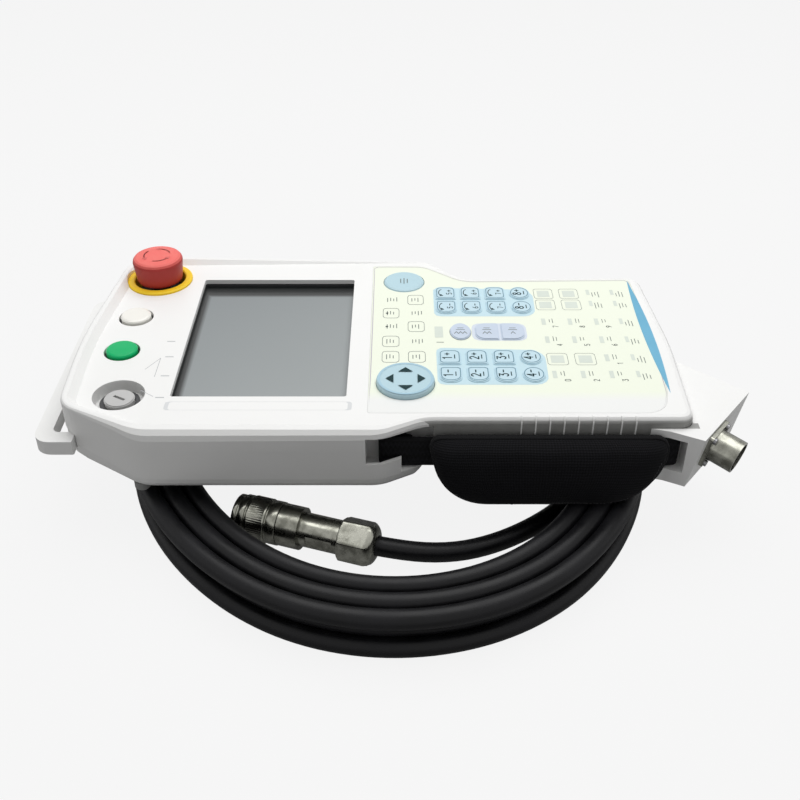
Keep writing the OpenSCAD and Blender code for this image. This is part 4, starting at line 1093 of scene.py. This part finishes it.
key_face = moulded("key blister", "#c0dbe6", 0.4, grain=3500, depth=0.00003, soil=0.02)
key_line = moulded("key outline ink", "#6d91a2", 0.5, soil=0.04, Specular_IOR_Level=0.2)
face_names = [f"axis{n}_{s}_key" for n in range(1, 9) for s in ("plus", "minus")]
paint(key_face, *face_names)
for n in range(1, 9):
    for sign, name in (("+", f"axis{n}_plus_key"), ("-", f"axis{n}_minus_key")):
        (cx, cy), (half_x, half_y), top = key_box(name)
        marks, edge = Print(top + 0.05), Print(top + 0.045)
        hx, hy = min(half_x - 1.7, 6.2), half_y - 1.4
        if n % 4 == 0:
            outer = round_outline(cx, cy, hx, hy)
        else:
            radii = (1.2, 1.2, 3, 3) if sign == "+" else (4.5, 4.5, 1.2, 1.2)
            outer = rounded_box(cx, cy, hx, hy, radii, 6)
        edge.ring(outer, outer + (np.array([cx, cy]) - outer) * 0.09)
        if 4 < n < 8:
            a = np.radians(np.linspace(100, 235, 10))
            marks.line(np.stack([cx - 2.2 + 2.2 * np.cos(a), cy - 0.2 + 4.2 * np.sin(a)], 1), 0.55)
            marks.shape([(cx - 3.9, cy - 4.6), (cx - 1.3, cy - 4.1), (cx - 3.2, cy - 1.9)])
            write(marks, sign, cx + 2.4, cy + 2.2, 3.6, 0.6)
            write(marks, str(n), cx + 2.4, cy - 1.4, 3.4, 0.5)
        else:
            write(marks, str(n), cx - 1.6, cy - 1.4, 5.2, 0.8)
            write(marks, sign, cx - 1.6, cy + 2.6, 4.4, 0.75)
            marks.bar(cx + 2.9, cy - 0.2, 0.6, 4.4)
        marks.make(f"mark_{name}", dark_ink, body_of(name))
        edge.make(f"line_{name}", key_line, body_of(name))
print("sixteen axis keys marked")

# %% [markdown]
# Three keys set the speed. Three, two and one small chevrons tell them apart, above two plain bars.

# %% Speed keys
speed_face = moulded("speed key blister", "#c6d2e2", 0.42, grain=3500, depth=0.00003, soil=0.03)
paint(speed_face, "high_speed_key", "fast_key", "slow_key")
for k, name in enumerate(("high_speed_key", "fast_key", "slow_key")):
    (cx, cy), _, top = key_box(name)
    marks = Print(top + 0.05)
    for n in range(3 - k):
        x = cx + (n - (2 - k) / 2) * 2.6
        marks.line([(x - 1.3, cy - 3.4), (x, cy - 1.2), (x + 1.3, cy - 3.4)], 0.5)
    marks.line([(cx - 2.6, cy + 1.2), (cx + 2.6, cy + 1.2)], 0.55)
    marks.line([(cx - 1.8, cy + 3.2), (cx + 1.8, cy + 3.2)], 0.55)
    marks.make(f"mark_{name}", ink, body_of(name))
print("three speed keys marked")

# %% [markdown]
# The select key is a plain round blister with three bars. The cursor key is a ring with an arrow on
# each of its four sides: one arrow is drawn, and a turn by 90 degrees gives the next.

# %% Round keys
round_face = moulded("round key blister", "#b4d2dc", 0.38, grain=3500, depth=0.00003, soil=0.03)
paint(round_face, "select_key", "cursor_key")
(cx, cy), _, top = key_box("select_key")
marks = Print(top + 0.04)
for k, w in enumerate((5.5, 7.5, 5.5)):
    marks.bar(cx - 2.2 + k * 2.2, cy, 0.55, w)
marks.make("mark_select_key", ink, body_of("select_key"))

(cx, cy), (hx, _), top = key_box("cursor_key")
marks, pale = Print(top + 0.05), Print(top + 0.04)
arrow = np.array([[11.6, 0], [7.0, 4.4], [7.0, -4.4]])
for turn in range(4):
    a = turn * pi / 2
    marks.shape(arrow @ np.array([[cos(a), sin(a)], [-sin(a), cos(a)]]) + [cx, cy])
pale.ring(*[round_outline(cx, cy, r, r, 56) for r in (hx - 1.5, hx - 3.1)])
marks.make("mark_cursor_arrows", dark_ink, body_of("cursor_key"))
pale.make("mark_cursor_ring", moulded("cursor ring ink", "#a5c8d8", 0.45), body_of("cursor_key"))
print("round keys marked")

# %% [markdown]
# The stop button's crown carries three turn arrows, moulded in its own red. The mode switch has a thin
# legend: three leader lines and four short bars. Under the screen an empty frame marks where a label
# would go.

# %% Stop arrows, switch legend, label place
(sx, sy), _, stop_top = key_box("estop_head")
ARROW_R, ARROW_W = 8.6, 0.9
arrows = Print(stop_top + 0.03)
for turn in range(3):
    a = np.radians(np.linspace(20, 88, 12)) + turn * 2 * pi / 3
    arc = [sx, sy] + ARROW_R * np.stack([np.cos(a), np.sin(a)], 1)
    arrows.line(arc, ARROW_W)
    end, ahead, side = arc[-1], np.array([-sin(a[-1]), cos(a[-1])]), np.array([cos(a[-1]), sin(a[-1])])
    arrows.shape([end + side * 1.9, end + ahead * 2.9, end - side * 1.9])
arrows.make("stop_arrows", moulded("stop arrow ink", "#d8605a", 0.4), body_of("estop_head"))

legend = Print(0.03)
leaders = [[(-143, -38), (-136, -26)], [(-136, -26), (-136, -46)], [(-141, -60), (-133, -66)]]
for leader in leaders:
    legend.line(leader, 0.35)
for x, y, w in ((-133, -7, 5), (-131, -24.5, 5), (-130, -45, 5), (-129, -67, 5)):
    legend.bar(x, y, w, 0.8)
legend.make("mode_legend", moulded("legend ink", "#b5b7b9", 0.55))
label = Print(0.03)
label.frame(-72, -75.2, 106, 8.2, 1.4, 0.18)
label.make("label_place", moulded("label line", "#d9dbdc", 0.5))
print("stop arrows, legend and label place made")

# %% [markdown]
# The last cell prints the box of all that is shown, the floor left out.

# %% Sizes and the end
low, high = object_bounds()
print("dressed box", [round(float(v), 4) for v in low], [round(float(v), 4) for v in high])
